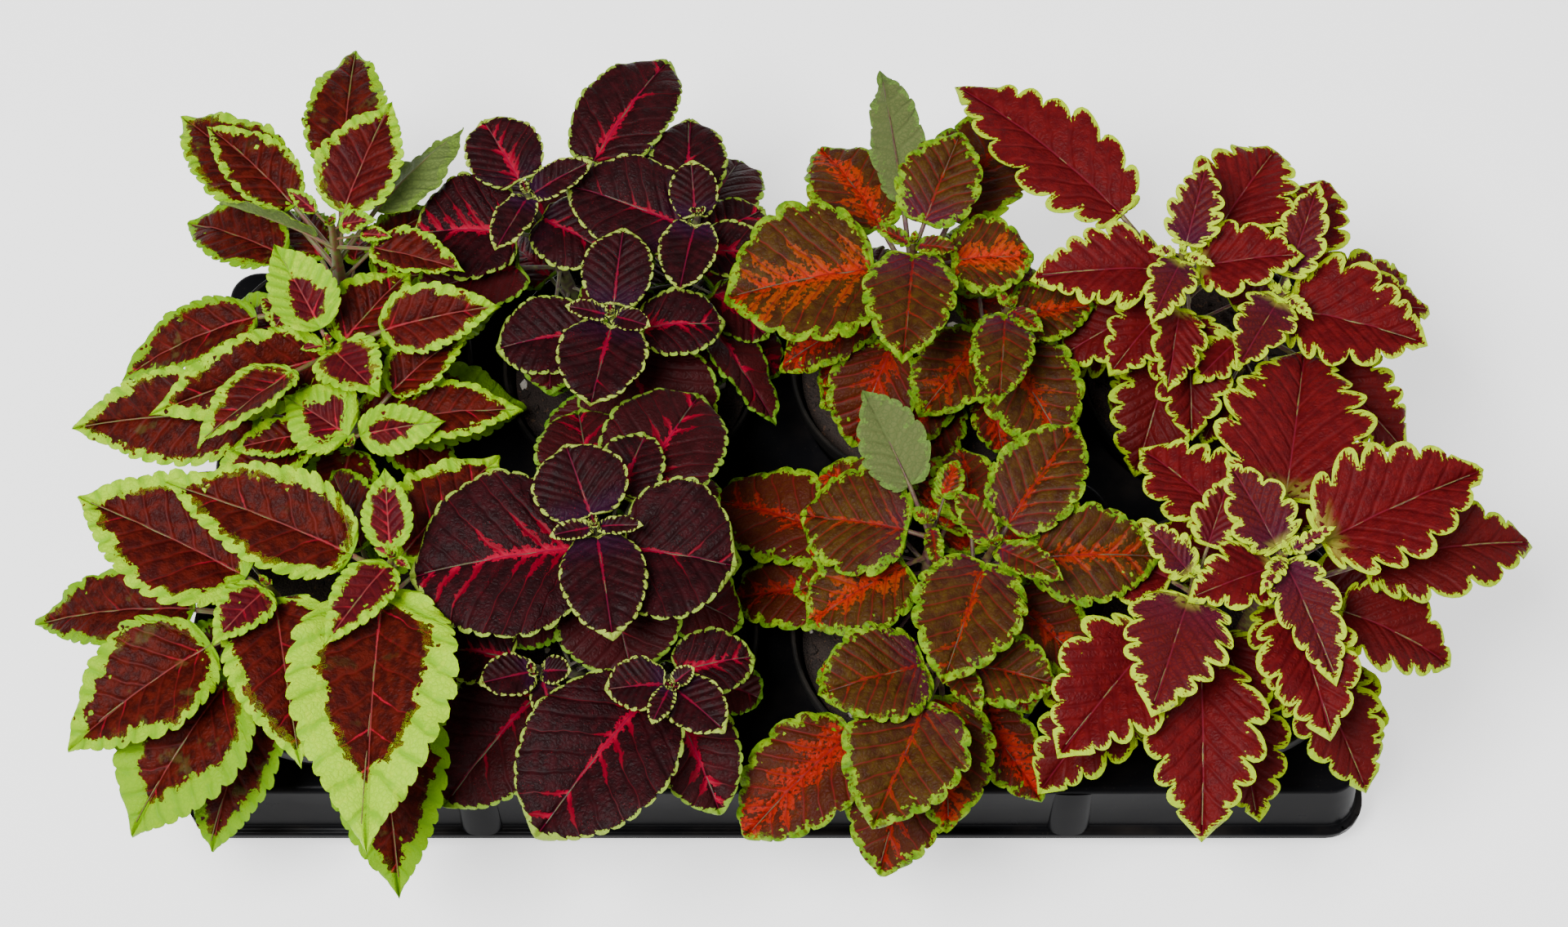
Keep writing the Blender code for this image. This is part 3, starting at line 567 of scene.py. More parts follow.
# The planting plan, in millimetres and degrees, read off the plants.
# Each shoot has its variety, its row, where it leaves the soil and where its tip is, both
# from the middle of its pot, and the height of the tip above the surface. Each leaf is
# (heading, distance below the tip, stalk, blade length, blade width) and, where the blade
# is turned about its midrib, the turn. Heading 0 points along +X and 90 to the back.
SHOOTS = (
    ("lime", "back", (3, 10), (5, 22), 185, (
        (145, 3, 10, 17, 9), (0, 3, 4, 18, 13), (-10, 10, 15, 15, 9),
        (70, 12, 13, 58, 41), (160, 16, 9, 47, 22, 70), (146, 22, 28, 62, 32),
        (133, 34, 38, 80, 44), (90, 38, 46, 85, 40), (52, 30, 30, 60, 34, 150),
        (15, 50, 22, 56, 38), (152, 48, 30, 62, 36), (-164, 58, 40, 76, 33))),
    ("lime", "back", (3, -17), (6, -33), 176, (
        (-160, 3, 2, 12, 7), (120, 7, 9, 44, 32), (-50, 7, 2, 36, 32),
        (-160, 22, 2, 84, 40, -25), (52, 20, 6, 48, 40), (25, 40, 21, 58, 44),
        (140, 60, 27, 54, 31))),
    ("lime", "back", (11, -27), (17, -77), 166, (
        (150, 8, 2, 34, 38), (5, 9, 4, 39, 24, 35), (25, 26, 2, 52, 30, 30),
        (178, 30, 42, 94, 46, -30), (-175, 46, 12, 56, 26), (15, 50, 5, 78, 50),
        (-100, 48, 16, 48, 36))),
    ("lime", "front", (21, -3), (41, -5), 187, (
        (160, 2, 2, 7, 5), (-40, 2, 2, 10, 5), (95, 7, 5, 36, 23),
        (-120, 7, 2, 49, 26), (160, 20, 17, 88, 50), (55, 24, 10, 73, 44),
        (-91, 22, 12, 120, 74), (-84, 52, 36, 100, 56))),
    ("lime", "front", (-7, -7), (-13, -14), 178, (
        (-125, 5, 2, 36, 25), (155, 15, 14, 84, 62), (-78, 15, 3, 80, 52),
        (-145, 36, 37, 77, 56), (-125, 42, 38, 84, 63), (-112, 66, 36, 76, 42),
        (178, 50, 42, 82, 40))),
    ("dark", "back", (-22, 20), (-44, 41), 180, (
        (25, 3, 2, 31, 17), (-110, 3, 2, 36, 18), (120, 15, 18, 36, 37),
        (-30, 15, 2, 39, 40), (178, 28, 15, 48, 57), (62, 32, 42, 72, 45),
        (-160, 46, 22, 50, 44))),
    ("dark", "back", (17, 16), (33, 32), 176, (
        (95, 6, 3, 27, 23), (-100, 6, 3, 40, 27), (160, 12, 4, 58, 50),
        (-5, 24, 5, 34, 30), (90, 26, 24, 48, 37), (40, 32, 7, 42, 32),
        (70, 38, 27, 53, 42), (110, 42, 27, 50, 42), (-55, 48, 12, 70, 30, -30))),
    ("dark", "back", (-2, -11), (-5, -21), 181, (
        (175, 3, 2, 19, 10), (-25, 3, 2, 19, 12), (-100, 11, 3, 44, 41),
        (85, 11, 8, 37, 33), (-170, 24, 13, 42, 41), (5, 26, 13, 38, 35),
        (-62, 42, 3, 62, 66))),
    ("dark", "front", (-4, 4), (-9, 9), 188, (
        (-160, 3, 2, 19, 10), (-5, 3, 2, 20, 9), (110, 9, 8, 34, 43),
        (-80, 9, 2, 52, 38), (-170, 22, 10, 74, 80), (-10, 22, 12, 49, 69),
        (64, 36, 31, 65, 56), (100, 40, 28, 56, 46), (-75, 40, 6, 46, 58),
        (-15, 44, 16, 53, 40))),
    ("dark", "front", (-17, -20), (-35, -47), 160, (
        (-160, 4, 2, 24, 21), (-5, 6, 2, 13, 14), (-75, 8, 4, 23, 15),
        (-130, 36, 13, 68, 56))),
    ("dark", "front", (12, -20), (24, -57), 168, (
        (-110, 3, 2, 20, 11), (35, 3, 2, 11, 9), (-170, 8, 2, 26, 26),
        (-50, 8, 2, 33, 26), (-126, 22, 13, 78, 68), (15, 30, 7, 36, 32),
        (-66, 36, 15, 54, 40))),
    ("olive", "back", (-3, 5), (-6, 11), 188, (
        (160, 3, 2, 18, 9), (-15, 3, 2, 19, 11), (68, 9, 14, 47, 40),
        (-95, 9, 2, 60, 43), (-168, 22, 20, 69, 75), (3, 22, 18, 38, 43),
        (97, 30, 38, 72, 28, 150), (118, 34, 30, 62, 44), (62, 40, 36, 72, 52),
        (-155, 48, 18, 55, 30), (-115, 52, 24, 50, 43))),
    ("olive", "back", (19, -7), (37, -13), 173, (
        (-45, 3, 2, 20, 11), (120, 3, 2, 8, 6), (-95, 7, 2, 50, 29),
        (-120, 14, 2, 26, 18, -40), (-130, 34, 3, 47, 40), (-60, 30, 11, 57, 50),
        (10, 20, 6, 40, 34))),
    ("olive", "front", (13, 0), (26, 0), 188, (
        (125, 3, 2, 27, 16), (-35, 3, 2, 34, 17), (55, 14, 15, 57, 42),
        (-109, 14, 5, 60, 50), (-38, 40, 14, 52, 40))),
    ("olive", "front", (0, 8), (0, 17), 174, (
        (145, 3, 2, 9, 8), (-85, 4, 2, 23, 9), (167, 13, 10, 50, 56),
        (115, 12, 23, 47, 33, 150), (70, 16, 19, 19, 14), (-148, 28, 13, 52, 46),
        (152, 56, 38, 84, 50), (178, 66, 30, 64, 44))),
    ("olive", "front", (3, -20), (7, -43), 162, (
        (-65, 4, 4, 27, 15), (-160, 10, 12, 49, 48), (-17, 10, 9, 41, 38),
        (-112, 14, 25, 61, 56), (-107, 44, 32, 68, 50), (-88, 36, 17, 60, 44),
        (-138, 48, 52, 68, 50), (-52, 52, 24, 54, 32))),
    ("crimson", "back", (-11, 3), (-22, 6), 188, (
        (-175, 2, 4, 13, 7), (-35, 2, 2, 15, 7), (75, 6, 6, 40, 28),
        (-115, 6, 2, 41, 25), (-175, 17, 10, 61, 45), (0, 17, 7, 48, 41),
        (133, 30, 42, 108, 53), (57, 30, 29, 58, 54), (38, 42, 26, 52, 42),
        (-130, 32, 13, 44, 36), (-88, 34, 14, 56, 44), (-108, 54, 28, 56, 44),
        (-155, 42, 22, 46, 38))),
    ("crimson", "back", (12, -5), (24, -8), 178, (
        (165, 2, 2, 7, 6), (-55, 3, 2, 19, 8), (70, 6, 9, 46, 26),
        (-120, 6, 4, 48, 29), (-18, 17, 7, 64, 60), (66, 26, 24, 54, 44),
        (-42, 42, 30, 60, 46), (25, 44, 28, 56, 42))),
    ("crimson", "front", (7, -3), (14, -4), 188, (
        (25, 3, 3, 22, 9), (-120, 3, 2, 24, 10), (120, 6, 4, 43, 33),
        (-70, 6, 2, 58, 32), (79, 24, 32, 84, 74), (25, 19, 22, 81, 61),
        (130, 22, 29, 56, 44), (-155, 15, 2, 44, 36), (-75, 26, 24, 57, 48),
        (9, 46, 46, 80, 56), (-22, 42, 34, 56, 46), (-75, 52, 34, 67, 46),
        (-55, 56, 38, 54, 40), (-85, 34, 12, 45, 29))),
    ("crimson", "front", (-12, -6), (-24, -10), 178, (
        (135, 4, 2, 31, 21), (70, 12, 17, 34, 24), (156, 24, 13, 46, 43),
        (-110, 9, 12, 61, 50), (-130, 26, 34, 68, 60), (-92, 32, 35, 78, 58),
        (-75, 48, 33, 66, 46), (-65, 38, 19, 42, 36), (-134, 52, 37, 74, 50))),
)

STEM_FOOT = 0.0685
STEM_FOOT_RADIUS = 0.0042
STEM_TIP_RADIUS = 0.0015
STEM_STEP = 0.002
STEM_LEAN_POWER = 1.4
STEM_SQUARENESS = 1.32
NODE_SWELLING = 0.30
STALK_START = 0.0006
STALK_STEP = 0.004
STALK_WIDTH = 0.0026
STALK_DEPTH = 0.0022
STALK_LIFT = 10.0
MIDRIB_POINTS = 9
BLADE_THICKNESS = 0.00045
HEART_SPREAD = 0.06
VEIN_SWEEP = 0.35
SIDE_VEINS = 8.0
SIDE_VEIN_CROWDING = 0.8
BASE_VEIN_FAN = math.radians(32)
BODY = 0.80
MARGIN_SAMPLES = 500
NECK_SHARES = np.array((0, 0.35, 0.7))
TIP_SHARES = np.array((0, 0.16, 0.38, 0.68, 1.0))
HAIRS = 140
HAIR_LENGTH = 0.0011
HAIR_RADIUS = 0.00009
LOW_LEAVES = 7
LOW_LEAF_DRAWS = 160
LOW_LEAF_GAP = 0.0030
LOW_LEAF_SPACE = 1.3 * LOW_LEAF_GAP
LOW_LEAF_DEPTH = 92
LOW_LEAF_REACH = TRAY_LENGTH / 2 + 0.03, TRAY_WIDTH / 2 + 0.012
LOW_LEAF_MIDDLE_Y = 0.024
TIP_LEAFLETS = ((0, 30, 6.0, 4.4), (180, 34, 5.6, 4.2), (90, 52, 4.0, 2.6), (270, 50, 3.6, 2.4))

# How each variety's leaf is cut: where it is widest, how round it is, how far its base lobes
# reach back and the fold of its halves in degrees, as in the solids; then how deep the fine teeth
# are cut, how blunt, how far they lean to the tip, the share of the plain tip, their number on a
# side of a small leaf and of each metre more, and the columns of mesh in each; last how far the
# blade is quilted between its veins in millimetres, how far the side veins lean, how wide a leaf
# is for its length, and how far below the tip the low leaves begin, in millimetres.
VARIETIES = {
    "lime": dict(peak=0.36, fullness=0.62, cordate=0.02, fold=14, notch=0.100, blunt=0.48, lean=0.14,
                 plain=0.05, teeth=(8, 78), columns=4, quilt=0.60, vein_lean=0.95, slender=0.60, low=13),
    "dark": dict(peak=0.42, fullness=0.50, cordate=0.07, fold=9, notch=0.065, blunt=0.42, lean=0.05,
                 plain=0.05, teeth=(9, 70), columns=4, quilt=0.22, vein_lean=0.85, slender=0.86, low=24),
    "olive": dict(peak=0.40, fullness=0.55, cordate=0.05, fold=9, notch=0.125, blunt=0.42, lean=0.08,
                  plain=0.08, teeth=(5.5, 36), columns=6, quilt=0.55, vein_lean=0.95, slender=0.80, low=24),
    "crimson": dict(peak=0.36, fullness=0.54, cordate=0.04, fold=12, notch=0.330, blunt=0.45, lean=0.12,
                    plain=0.16, teeth=(4.2, 22), columns=8, quilt=0.35, vein_lean=1.25, slender=0.74, low=24),
}
# The small bends that keep a solid's leaves clear of each other, as in the solids
LIFTS = (0, 6, -6, 12, -12, 18, -18, 26, -26, 34)
TURNS = (0, 6, -6, 12, -12, 18, -18)
SIZES = (1.0, 0.92, 0.84, 0.76)


def stem_axis(shoot, height):
    """Point on a shoot's axis at a height: upright at first, then leaning."""
    column, row, root, tip, tip_height = shoot[:5]
    x, y = pot_centre(column, row)
    t = max(0.0, (height - SOIL_TOP) / (tip_height * MM - SOIL_TOP)) ** STEM_LEAN_POWER
    return np.array((x + (root[0] + (tip[0] - root[0]) * t) * MM,
                     y + (root[1] + (tip[1] - root[1]) * t) * MM, height))


def stem_radius(heights, top):
    """How thick a stem is at heights, of which the lowest quarter above the soil is thickest."""
    return np.interp(heights, [SOIL_TOP + (top - SOIL_TOP) * 0.25, top], [STEM_FOOT_RADIUS, STEM_TIP_RADIUS])


class Leaf:
    """Where one leaf of a shoot stands. A young leaf is pitched up, an old one droops."""

    def __init__(self, shoot, heading, drop, stalk, length, width, roll=0):
        self.shoot, self.heading, self.drop = shoot, heading, drop
        self.stalk, self.full_length, self.full_half = stalk * MM, length * MM, width * MM / 2
        self.roll = math.radians(roll)
        self.pitch = 22 * math.exp(-drop / 25) + 6 - 0.15 * drop
        self.droop = math.radians(15 + 0.5 * drop)
        self.settle(0, 0, 1.0)

    def settle(self, lift, turn, size):
        """Lift, turn and shrink the leaf a little, as its solid is to clear its neighbours."""
        heading = math.radians(self.heading + turn)
        self.ahead = np.array((math.cos(heading), math.sin(heading), 0.0))
        self.side = np.array((-self.ahead[1], self.ahead[0], 0.0))
        self.start_pitch = math.radians(self.pitch + lift)
        rise = self.start_pitch + math.radians(STALK_LIFT)
        self.stalk_way = self.ahead * math.cos(rise) + np.array((0, 0, math.sin(rise)))
        self.root = stem_axis(self.shoot, (self.shoot[4] - self.drop) * MM)
        self.base = self.root + self.stalk_way * self.stalk
        self.length, self.half = self.full_length * size, self.full_half * size

    def rolled(self, normal):
        """A leaf's side and normal, turned about its midrib."""
        turn, lift = math.cos(self.roll), math.sin(self.roll)
        return self.side * turn + normal * lift, normal * turn - self.side * lift

    def place(self, x, y, z):
        """Bend points of the flat blade down along the leaf's arc and turn them about it."""
        x, y, z = (np.asarray(value, float)[..., None] for value in (x, y, z))
        u = np.clip(x / self.length, 0, 1)
        here = self.start_pitch - self.droop * u
        up = np.array((0.0, 0.0, 1.0))
        run = self.length * (math.sin(self.start_pitch) - np.sin(here)) / self.droop
        rise = self.length * (np.cos(here) - math.cos(self.start_pitch)) / self.droop
        along = self.ahead * np.cos(here) + up * np.sin(here)
        side, normal = self.rolled(np.cross(along, self.side))
        middle = self.base + self.ahead * run + up * rise + along * (x - u * self.length)
        return middle + side * y + normal * z


def settle_on(leaf, solid):
    """Give a leaf the small bend that its solid has: the first that puts its tip and its neck
    on the solid's faces. Gives how far off them it stays."""
    best = (1.0, 0, 0, 1.0)
    bends = [(0.17 * abs(lift) + 0.22 * abs(turn) + 30 * (1 - size), lift, turn, size)
             for lift in LIFTS for turn in TURNS for size in SIZES]
    for _, lift, turn, size in sorted(bends, key=lambda bend: bend[0]):
        leaf.settle(lift, turn, size)
        marks = leaf.place([leaf.length, 0, 0], [0, STALK_WIDTH / 2, -STALK_WIDTH / 2], [0, 0, 0])
        off = sum(solid.find_nearest(Vector(mark))[3] for mark in marks)
        if off < best[0] - MM / 100:
            best = (off, lift, turn, size)
    leaf.settle(*best[1:])
    return best[0]


def outline(cut, along):
    """Margin of a blade with no teeth, as fractions of its length and of its half width."""
    spread = along / HEART_SPREAD
    back = cut["cordate"] * spread * np.exp(1 - spread)
    first = cut["fullness"]
    last = first * (1 - cut["peak"]) / cut["peak"]
    width = (along / cut["peak"]) ** first * ((1 - along) / (1 - cut["peak"])) ** last
    return along - back, width * (1 - 0.30 * np.exp(-((1 - along) / 0.09) ** 2))


def margin_columns(cut, length, half, coarse, rng):
    """Where the mesh's columns meet the margin: each one's place along the midrib and, for both
    sides, its place along the margin, the height of the tooth there, 0 to 1, and its distance
    along the margin. The columns crowd where two teeth meet."""
    fine = np.linspace(0, 1, MARGIN_SAMPLES) ** 2
    fine_x, fine_y = outline(cut, fine)
    steps = np.hypot(np.diff(fine_x * length), np.diff(fine_y * half))
    run = np.concatenate([[0], np.cumsum(steps)])
    teeth = round(cut["teeth"][0] + cut["teeth"][1] * length) if length > 0.01 else 4
    per_tooth = cut["columns"] if length > 0.03 and not coarse else max(3, cut["columns"] * 2 // 3)
    plain = np.interp(1 - cut["plain"], fine, run)
    start, tip = 0.05 * plain, run[-1] - plain
    widths = 0.75 + 0.5 * np.sin(np.pi * (np.arange(teeth) + 0.8) / (teeth + 0.6))
    widths *= 0.9 + 0.2 * rng.random(teeth)
    ends = start + (plain - start) * np.concatenate([[0], np.cumsum(widths)]) / widths.sum()
    gaps = np.diff(ends)
    shares = np.arange(per_tooth) / per_tooth
    shares = shares - 0.07 * np.sin(2 * np.pi * shares)
    # From the neck, over the teeth, to the plain tip
    runs = np.concatenate([start * NECK_SHARES, (ends[:-1, None] + gaps[:, None] * shares).ravel(),
                           plain + tip * TIP_SHARES])
    phase = np.concatenate([np.full(len(NECK_SHARES), 0.15), np.tile(shares, teeth),
                            np.minimum(0.5, 1.4 * TIP_SHARES)])
    wide = np.concatenate([np.full(len(NECK_SHARES), start), np.repeat(gaps, per_tooth),
                           np.full(len(TIP_SHARES), tip)])
    number = np.concatenate([np.zeros(len(NECK_SHARES), int), np.repeat(np.arange(teeth), per_tooth),
                             np.full(len(TIP_SHARES), teeth)])
    tooth = np.sin(np.pi * phase) ** cut["blunt"]
    at_tip = number == teeth
    lean = np.where(at_tip, 0.0, cut["lean"]) * wide * tooth
    fade = np.clip(runs / run[-1] * 12, 0, 1) * np.clip((run[-1] - runs) / run[-1] * 12, 0, 1)
    sides = []
    for side in range(2):
        drift = 0.25 * fade * wide * np.sin(2 * np.pi * (1.3 * runs / run[-1] + rng.random()))
        heights = np.where(at_tip, 1.0, (0.76 + 0.24 * rng.random(teeth + 1))[number])
        sides.append((np.interp(runs + drift + lean, run, fine), tooth * heights, runs))
    return np.interp(runs, run, fine), sides


def side_veins(x, y, length, half, vein_lean):
    """A count that is whole on each side vein of the flat blade, and the gap between two. The
    veins leave the midrib at an acute angle and arch forward, and a few fan out from the base."""
    lean = vein_lean * (1 - 0.25 * y / half)
    start = (x - y * lean) / length
    ahead = np.clip(start, 1e-4, None)
    count = SIDE_VEINS * ahead ** SIDE_VEIN_CROWDING
    gap = length * ahead ** (1 - SIDE_VEIN_CROWDING) / (SIDE_VEINS * SIDE_VEIN_CROWDING * np.hypot(1, lean))
    turned = np.arctan2(y, x) - np.arctan2(1, lean)
    behind = start < 0
    return (np.where(behind, -turned / BASE_VEIN_FAN, count),
            np.where(behind, np.hypot(x, y) * BASE_VEIN_FAN, gap))


def blade_rows(half, coarse):
    """Rows from the midrib to the margin, as shares, close together at both."""
    count = int(np.clip(round(half / MM / (6.5 if coarse else 3.6)) + 3, 4, 10))
    return np.concatenate([[0, 0.05], np.linspace(0.05, BODY, count - 3)[1:], [0.5 + BODY / 2, 1.0]])


def margin_distance(points, rim):
    """How far points of the flat blade are from its margin."""
    start, step = rim[:-1], np.diff(rim, axis=0)
    share = ((points[:, None] - start) * step).sum(-1) / np.maximum((step ** 2).sum(-1), 1e-12)
    nearest = start + step * np.clip(share, 0, 1)[..., None]
    return np.linalg.norm(points[:, None] - nearest, axis=-1).min(1)


def flat_halves(leaf, cut, coarse, rng):
    """A blade's points before it is bent: x, y and relief, and what its material reads there.
    Columns run from its base to its tip, and rows from the right margin to the left one."""
    length, half = leaf.length, leaf.half
    columns, sides = margin_columns(cut, length, half, coarse, rng)
    v = blade_rows(half, coarse)[None, :]
    outer = np.clip((v - BODY) / (1 - BODY), 0, 1)
    notch = cut["notch"] * (1 + 0.9 * math.exp(-length / 0.022))
    body = (1 - notch) * 0.93
    column = columns[:, None]
    origin = column * (1 - VEIN_SWEEP + VEIN_SWEEP * column)
    young = math.exp(-length / 0.035)
    wave = (0.012 + 0.012 * rng.random()) * length * (1 + young)
    cup, curl = rng.normal(0, 0.05), rng.uniform(0, 0.035)
    quilt = cut["quilt"] * MM * min(1.0, length / 0.055) * (0.45 + 0.35 * young)
    halves = []
    for sign, (edge, tooth, run) in zip((-1, 1), sides):
        edge, tooth, run = edge[:, None], tooth[:, None], run[:, None]
        phase = rng.random() * 2 * np.pi
        reach = np.where(v <= BODY, v / BODY * body, body + (1 - notch * (1 - tooth) - body) * outer)
        edge_x, edge_y = outline(cut, np.clip(column + (edge - column) * v ** 3, 0, 1))
        x = (origin + (edge_x - origin) * reach) * length
        y = edge_y * reach * half
        count, gap = side_veins(x, y, length, half, cut["vein_lean"])
        around = 2 * np.pi * run / run[-1]
        fold = math.tan(math.radians(cut["fold"])) * (np.hypot(y, MM) - MM)
        quilted = quilt * (np.sin(np.pi * count) ** 2 - 0.5) * np.clip(reach / 0.2, 0, 1) * (1 - reach ** 4)
        arched = 0.18 * half * (reach - reach ** 2) + cup * half * reach ** 2
        waved = wave * reach ** 4 * (np.sin(3.6 * around + phase) + 0.4 * np.sin(8.3 * around - phase))
        tooth_dip = 0.5 * MM * tooth * outer * min(1.0, length / 0.05)
        groove = 0.30 * MM * np.exp(-(y / (0.8 * MM)) ** 2) * min(1.0, length / 0.04)
        z = fold + quilted + arched + waved - curl * length * column ** 4 - tooth_dip - groove
        flat = np.stack([x, y], -1)
        margin = margin_distance(flat.reshape(-1, 2), flat[:, -1]).reshape(x.shape)
        halves.append(dict(x=x, y=y * sign, z=z, margin=margin / MM, run=run / MM + 0 * x, count=count,
                           gap=gap / MM, tooth=tooth + 0 * x, column=column + 0 * x))
    right, left = halves
    return {key: np.concatenate([right[key][:, :0:-1], left[key]], 1) for key in right}


def sheet_faces(shape):
    """Faces of a closed shell over a grid whose first and last columns each close to a point:
    the grid points that it keeps, its quads and its triangles. The lower face follows the upper."""
    wide = shape[1]
    keep = np.ones(shape, bool)
    keep[0, 1:] = keep[-1, 1:] = False
    index = np.cumsum(keep).reshape(shape) - 1
    index[0, :], index[-1, :] = index[0, 0], index[-1, 0]
    total = int(keep.sum())
    near, far = index[1:-2, :], index[2:-1, :]
    quads = np.stack([near[:, :-1], far[:, :-1], far[:, 1:], near[:, 1:]], -1).reshape(-1, 4)
    first, last = index[1], index[-2]
    fans = np.concatenate([
        np.stack([np.full(wide - 1, index[0, 0]), first[:-1], first[1:]], -1),
        np.stack([last[:-1], np.full(wide - 1, index[-1, 0]), last[1:]], -1)])
    rims = []
    for row, turn in ((wide - 1, 1), (0, -1)):
        loop = index[:, row]
        rim = np.stack([loop[:-1], loop[1:], loop[1:] + total, loop[:-1] + total], -1)
        rims.append(rim[:, ::turn])
    return (keep, np.concatenate([quads, quads[:, ::-1] + total] + rims),
            np.concatenate([fans, fans[:, ::-1] + total]))


def grow_blade(leaf, cut, number, coarse, rng):
    """A leaf blade as one closed shell, with what its material reads at each point."""
    length, half = leaf.length, leaf.half
    marks = flat_halves(leaf, cut, coarse, rng)
    x, y, margin = marks["x"], marks["y"], marks["margin"]
    twist = math.radians(rng.uniform(-4, 4))
    hook = rng.uniform(-0.02, 0.02) * length
    ripple = sum(0.16 * MM * np.sin(x / MM * rng.uniform(0.15, 0.4) + y / MM * rng.uniform(-0.4, 0.4)
                                    + rng.uniform(0, 6.3)) for _ in range(3)) * min(1.0, length / 0.04)
    relief = marks["z"] + y * (x / length - 0.2) * math.tan(twist) + ripple * np.clip(margin / 2, 0.2, 1)
    thickness = BLADE_THICKNESS * (0.7 if length < 0.03 else 1.0) * (0.65 + 0.35 * np.clip(margin / 3, 0, 1))
    bent_y = y + hook * (np.clip(x, 0, None) / length) ** 2
    keep, quads, fans = sheet_faces(x.shape)
    total = int(keep.sum())

    def both(values):
        return np.tile(values[keep], 2)

    points = [leaf.place(x, bent_y, z)[keep] for z in (relief, relief - thickness)]
    under = np.repeat((0.0, 1.0), total)
    chart = np.stack([(x - x.min()) / length, (y + half) / length], -1)[keep] * 0.5
    nature = (rng.random(), min(1.0, leaf.drop / 50), rng.random())
    return dict(points=np.concatenate(points), quads=quads, fans=fans, material=0,
                chart=np.concatenate([chart, chart + (0, 0.5)]),
                margin=np.stack([both(margin), both(marks["run"]), np.full(2 * total, half / MM)], -1),
                veins=np.stack([both(y / MM), both(marks["count"]), both(marks["gap"])], -1),
                part=np.stack([both(marks["column"]), under, both(marks["tooth"])], -1),
                nature=np.tile(nature, (2 * total, 1)),
                flat=np.stack([both(x / MM), both(y / MM), np.full(2 * total, 37.0 * number)], -1))


def grow_tube(path, side, up, wide, deep, sides, number, seed, squareness=2.0):
    """A closed tube along a path, oval or square, with what its material reads at each point."""
    turn = 2 * np.pi * np.arange(sides) / sides
    c, s = np.cos(turn), np.sin(turn)
    bulge = (np.abs(c) ** squareness + np.abs(s) ** squareness) ** (-1 / squareness)
    rings = (path[:, None] + side[:, None] * (wide[:, None] * c * bulge)[..., None]
             + up[:, None] * (deep[:, None] * s * bulge)[..., None])
    count = len(path)
    points = np.concatenate([rings.reshape(-1, 3), path[:1], path[-1:]])
    index = np.arange(count * sides).reshape(count, sides)
    after = np.roll(index, -1, 1)
    quads = np.stack([index[:-1], after[:-1], after[1:], index[1:]], -1).reshape(-1, 4)
    fans = np.concatenate([
        np.stack([np.full(sides, count * sides), after[0], index[0]], -1),
        np.stack([np.full(sides, count * sides + 1), index[-1], after[-1]], -1)])
    run = np.concatenate([[0], np.cumsum(np.linalg.norm(np.diff(path, axis=0), axis=1))])
    share = np.concatenate([np.repeat(run / run[-1], sides), [0, 1]])
    round_ = np.concatenate([np.tile(np.arange(sides) / sides, count), [0, 0]])
    none = np.zeros((len(points), 3))
    return dict(points=points, quads=quads, fans=fans, material=1,
                chart=np.stack([share, round_], -1) * 0.1, margin=none, veins=none,
                part=none + share[:, None] * (1, 0, 0), nature=none + (seed, 0, 0),
                flat=np.stack([share * run[-1] / MM, round_ * 12, none[:, 0] + 37.0 * number], -1))


def grow_stalk(leaf, number, rng):
    """The leaf stalk, which runs on under the blade as its midrib."""
    start = leaf.root + leaf.stalk_way * STALK_START
    thick = np.clip(leaf.length / 0.060, 0.45, 1.0)
    bar = np.linspace(0, 1, max(3, int(leaf.stalk / STALK_STEP)))[:, None]
    way_up = leaf.rolled(np.cross(leaf.stalk_way, leaf.side))[1]
    stalk = start + (leaf.base - start) * bar - way_up * STALK_DEPTH / 2
    rib_share = np.linspace(0.03, 0.9, MIDRIB_POINTS)
    rib_radius = np.interp(rib_share, [0, 0.15, 1], [0.95, 0.62, 0.18]) * MM * thick
    zero = np.zeros(MIDRIB_POINTS)
    rib_x = rib_share * leaf.length
    path = np.concatenate([stalk, leaf.place(rib_x, zero, -0.35 * MM - rib_radius)])
    up = np.concatenate([np.tile(way_up, (len(stalk), 1)),
                         leaf.place(rib_x, zero, zero) - leaf.place(rib_x, zero, zero - 1)])
    wide = np.concatenate([np.full(len(stalk), STALK_WIDTH / 2) * thick, rib_radius])
    wide[0] *= 1.35
    deep = np.concatenate([np.full(len(stalk), STALK_DEPTH / 2) * thick, rib_radius])
    side = np.cross(up, np.gradient(path, axis=0))
    side /= np.linalg.norm(side, axis=1, keepdims=True)
    return grow_tube(path, side, up, wide, deep, 8, number, rng.random())


def grow_stem(shoot, number, rng):
    """The square stem, a little swollen where each pair of leaves stands."""
    top = shoot[4] * MM
    heights = np.append(np.arange(STEM_FOOT, top, STEM_STEP), [top, top + 0.001])
    nodes = np.array([top - entry[1] * MM for entry in shoot[5]])
    radius = stem_radius(heights, top)
    near = np.abs(heights[:, None] - nodes[None]).min(1)
    swelling = NODE_SWELLING * np.exp(-(near / 0.0022) ** 2) * (radius / STEM_FOOT_RADIUS)
    radius = radius * (0.94 + swelling)
    radius[-1] *= 0.5
    path = np.array([stem_axis(shoot, height) for height in heights])
    side = np.tile((1.0, 0.0, 0.0), (len(path), 1))
    up = np.tile((0.0, 1.0, 0.0), (len(path), 1))
    return grow_tube(path, side, up, radius, radius, 16, number, rng.random(), STEM_SQUARENESS)


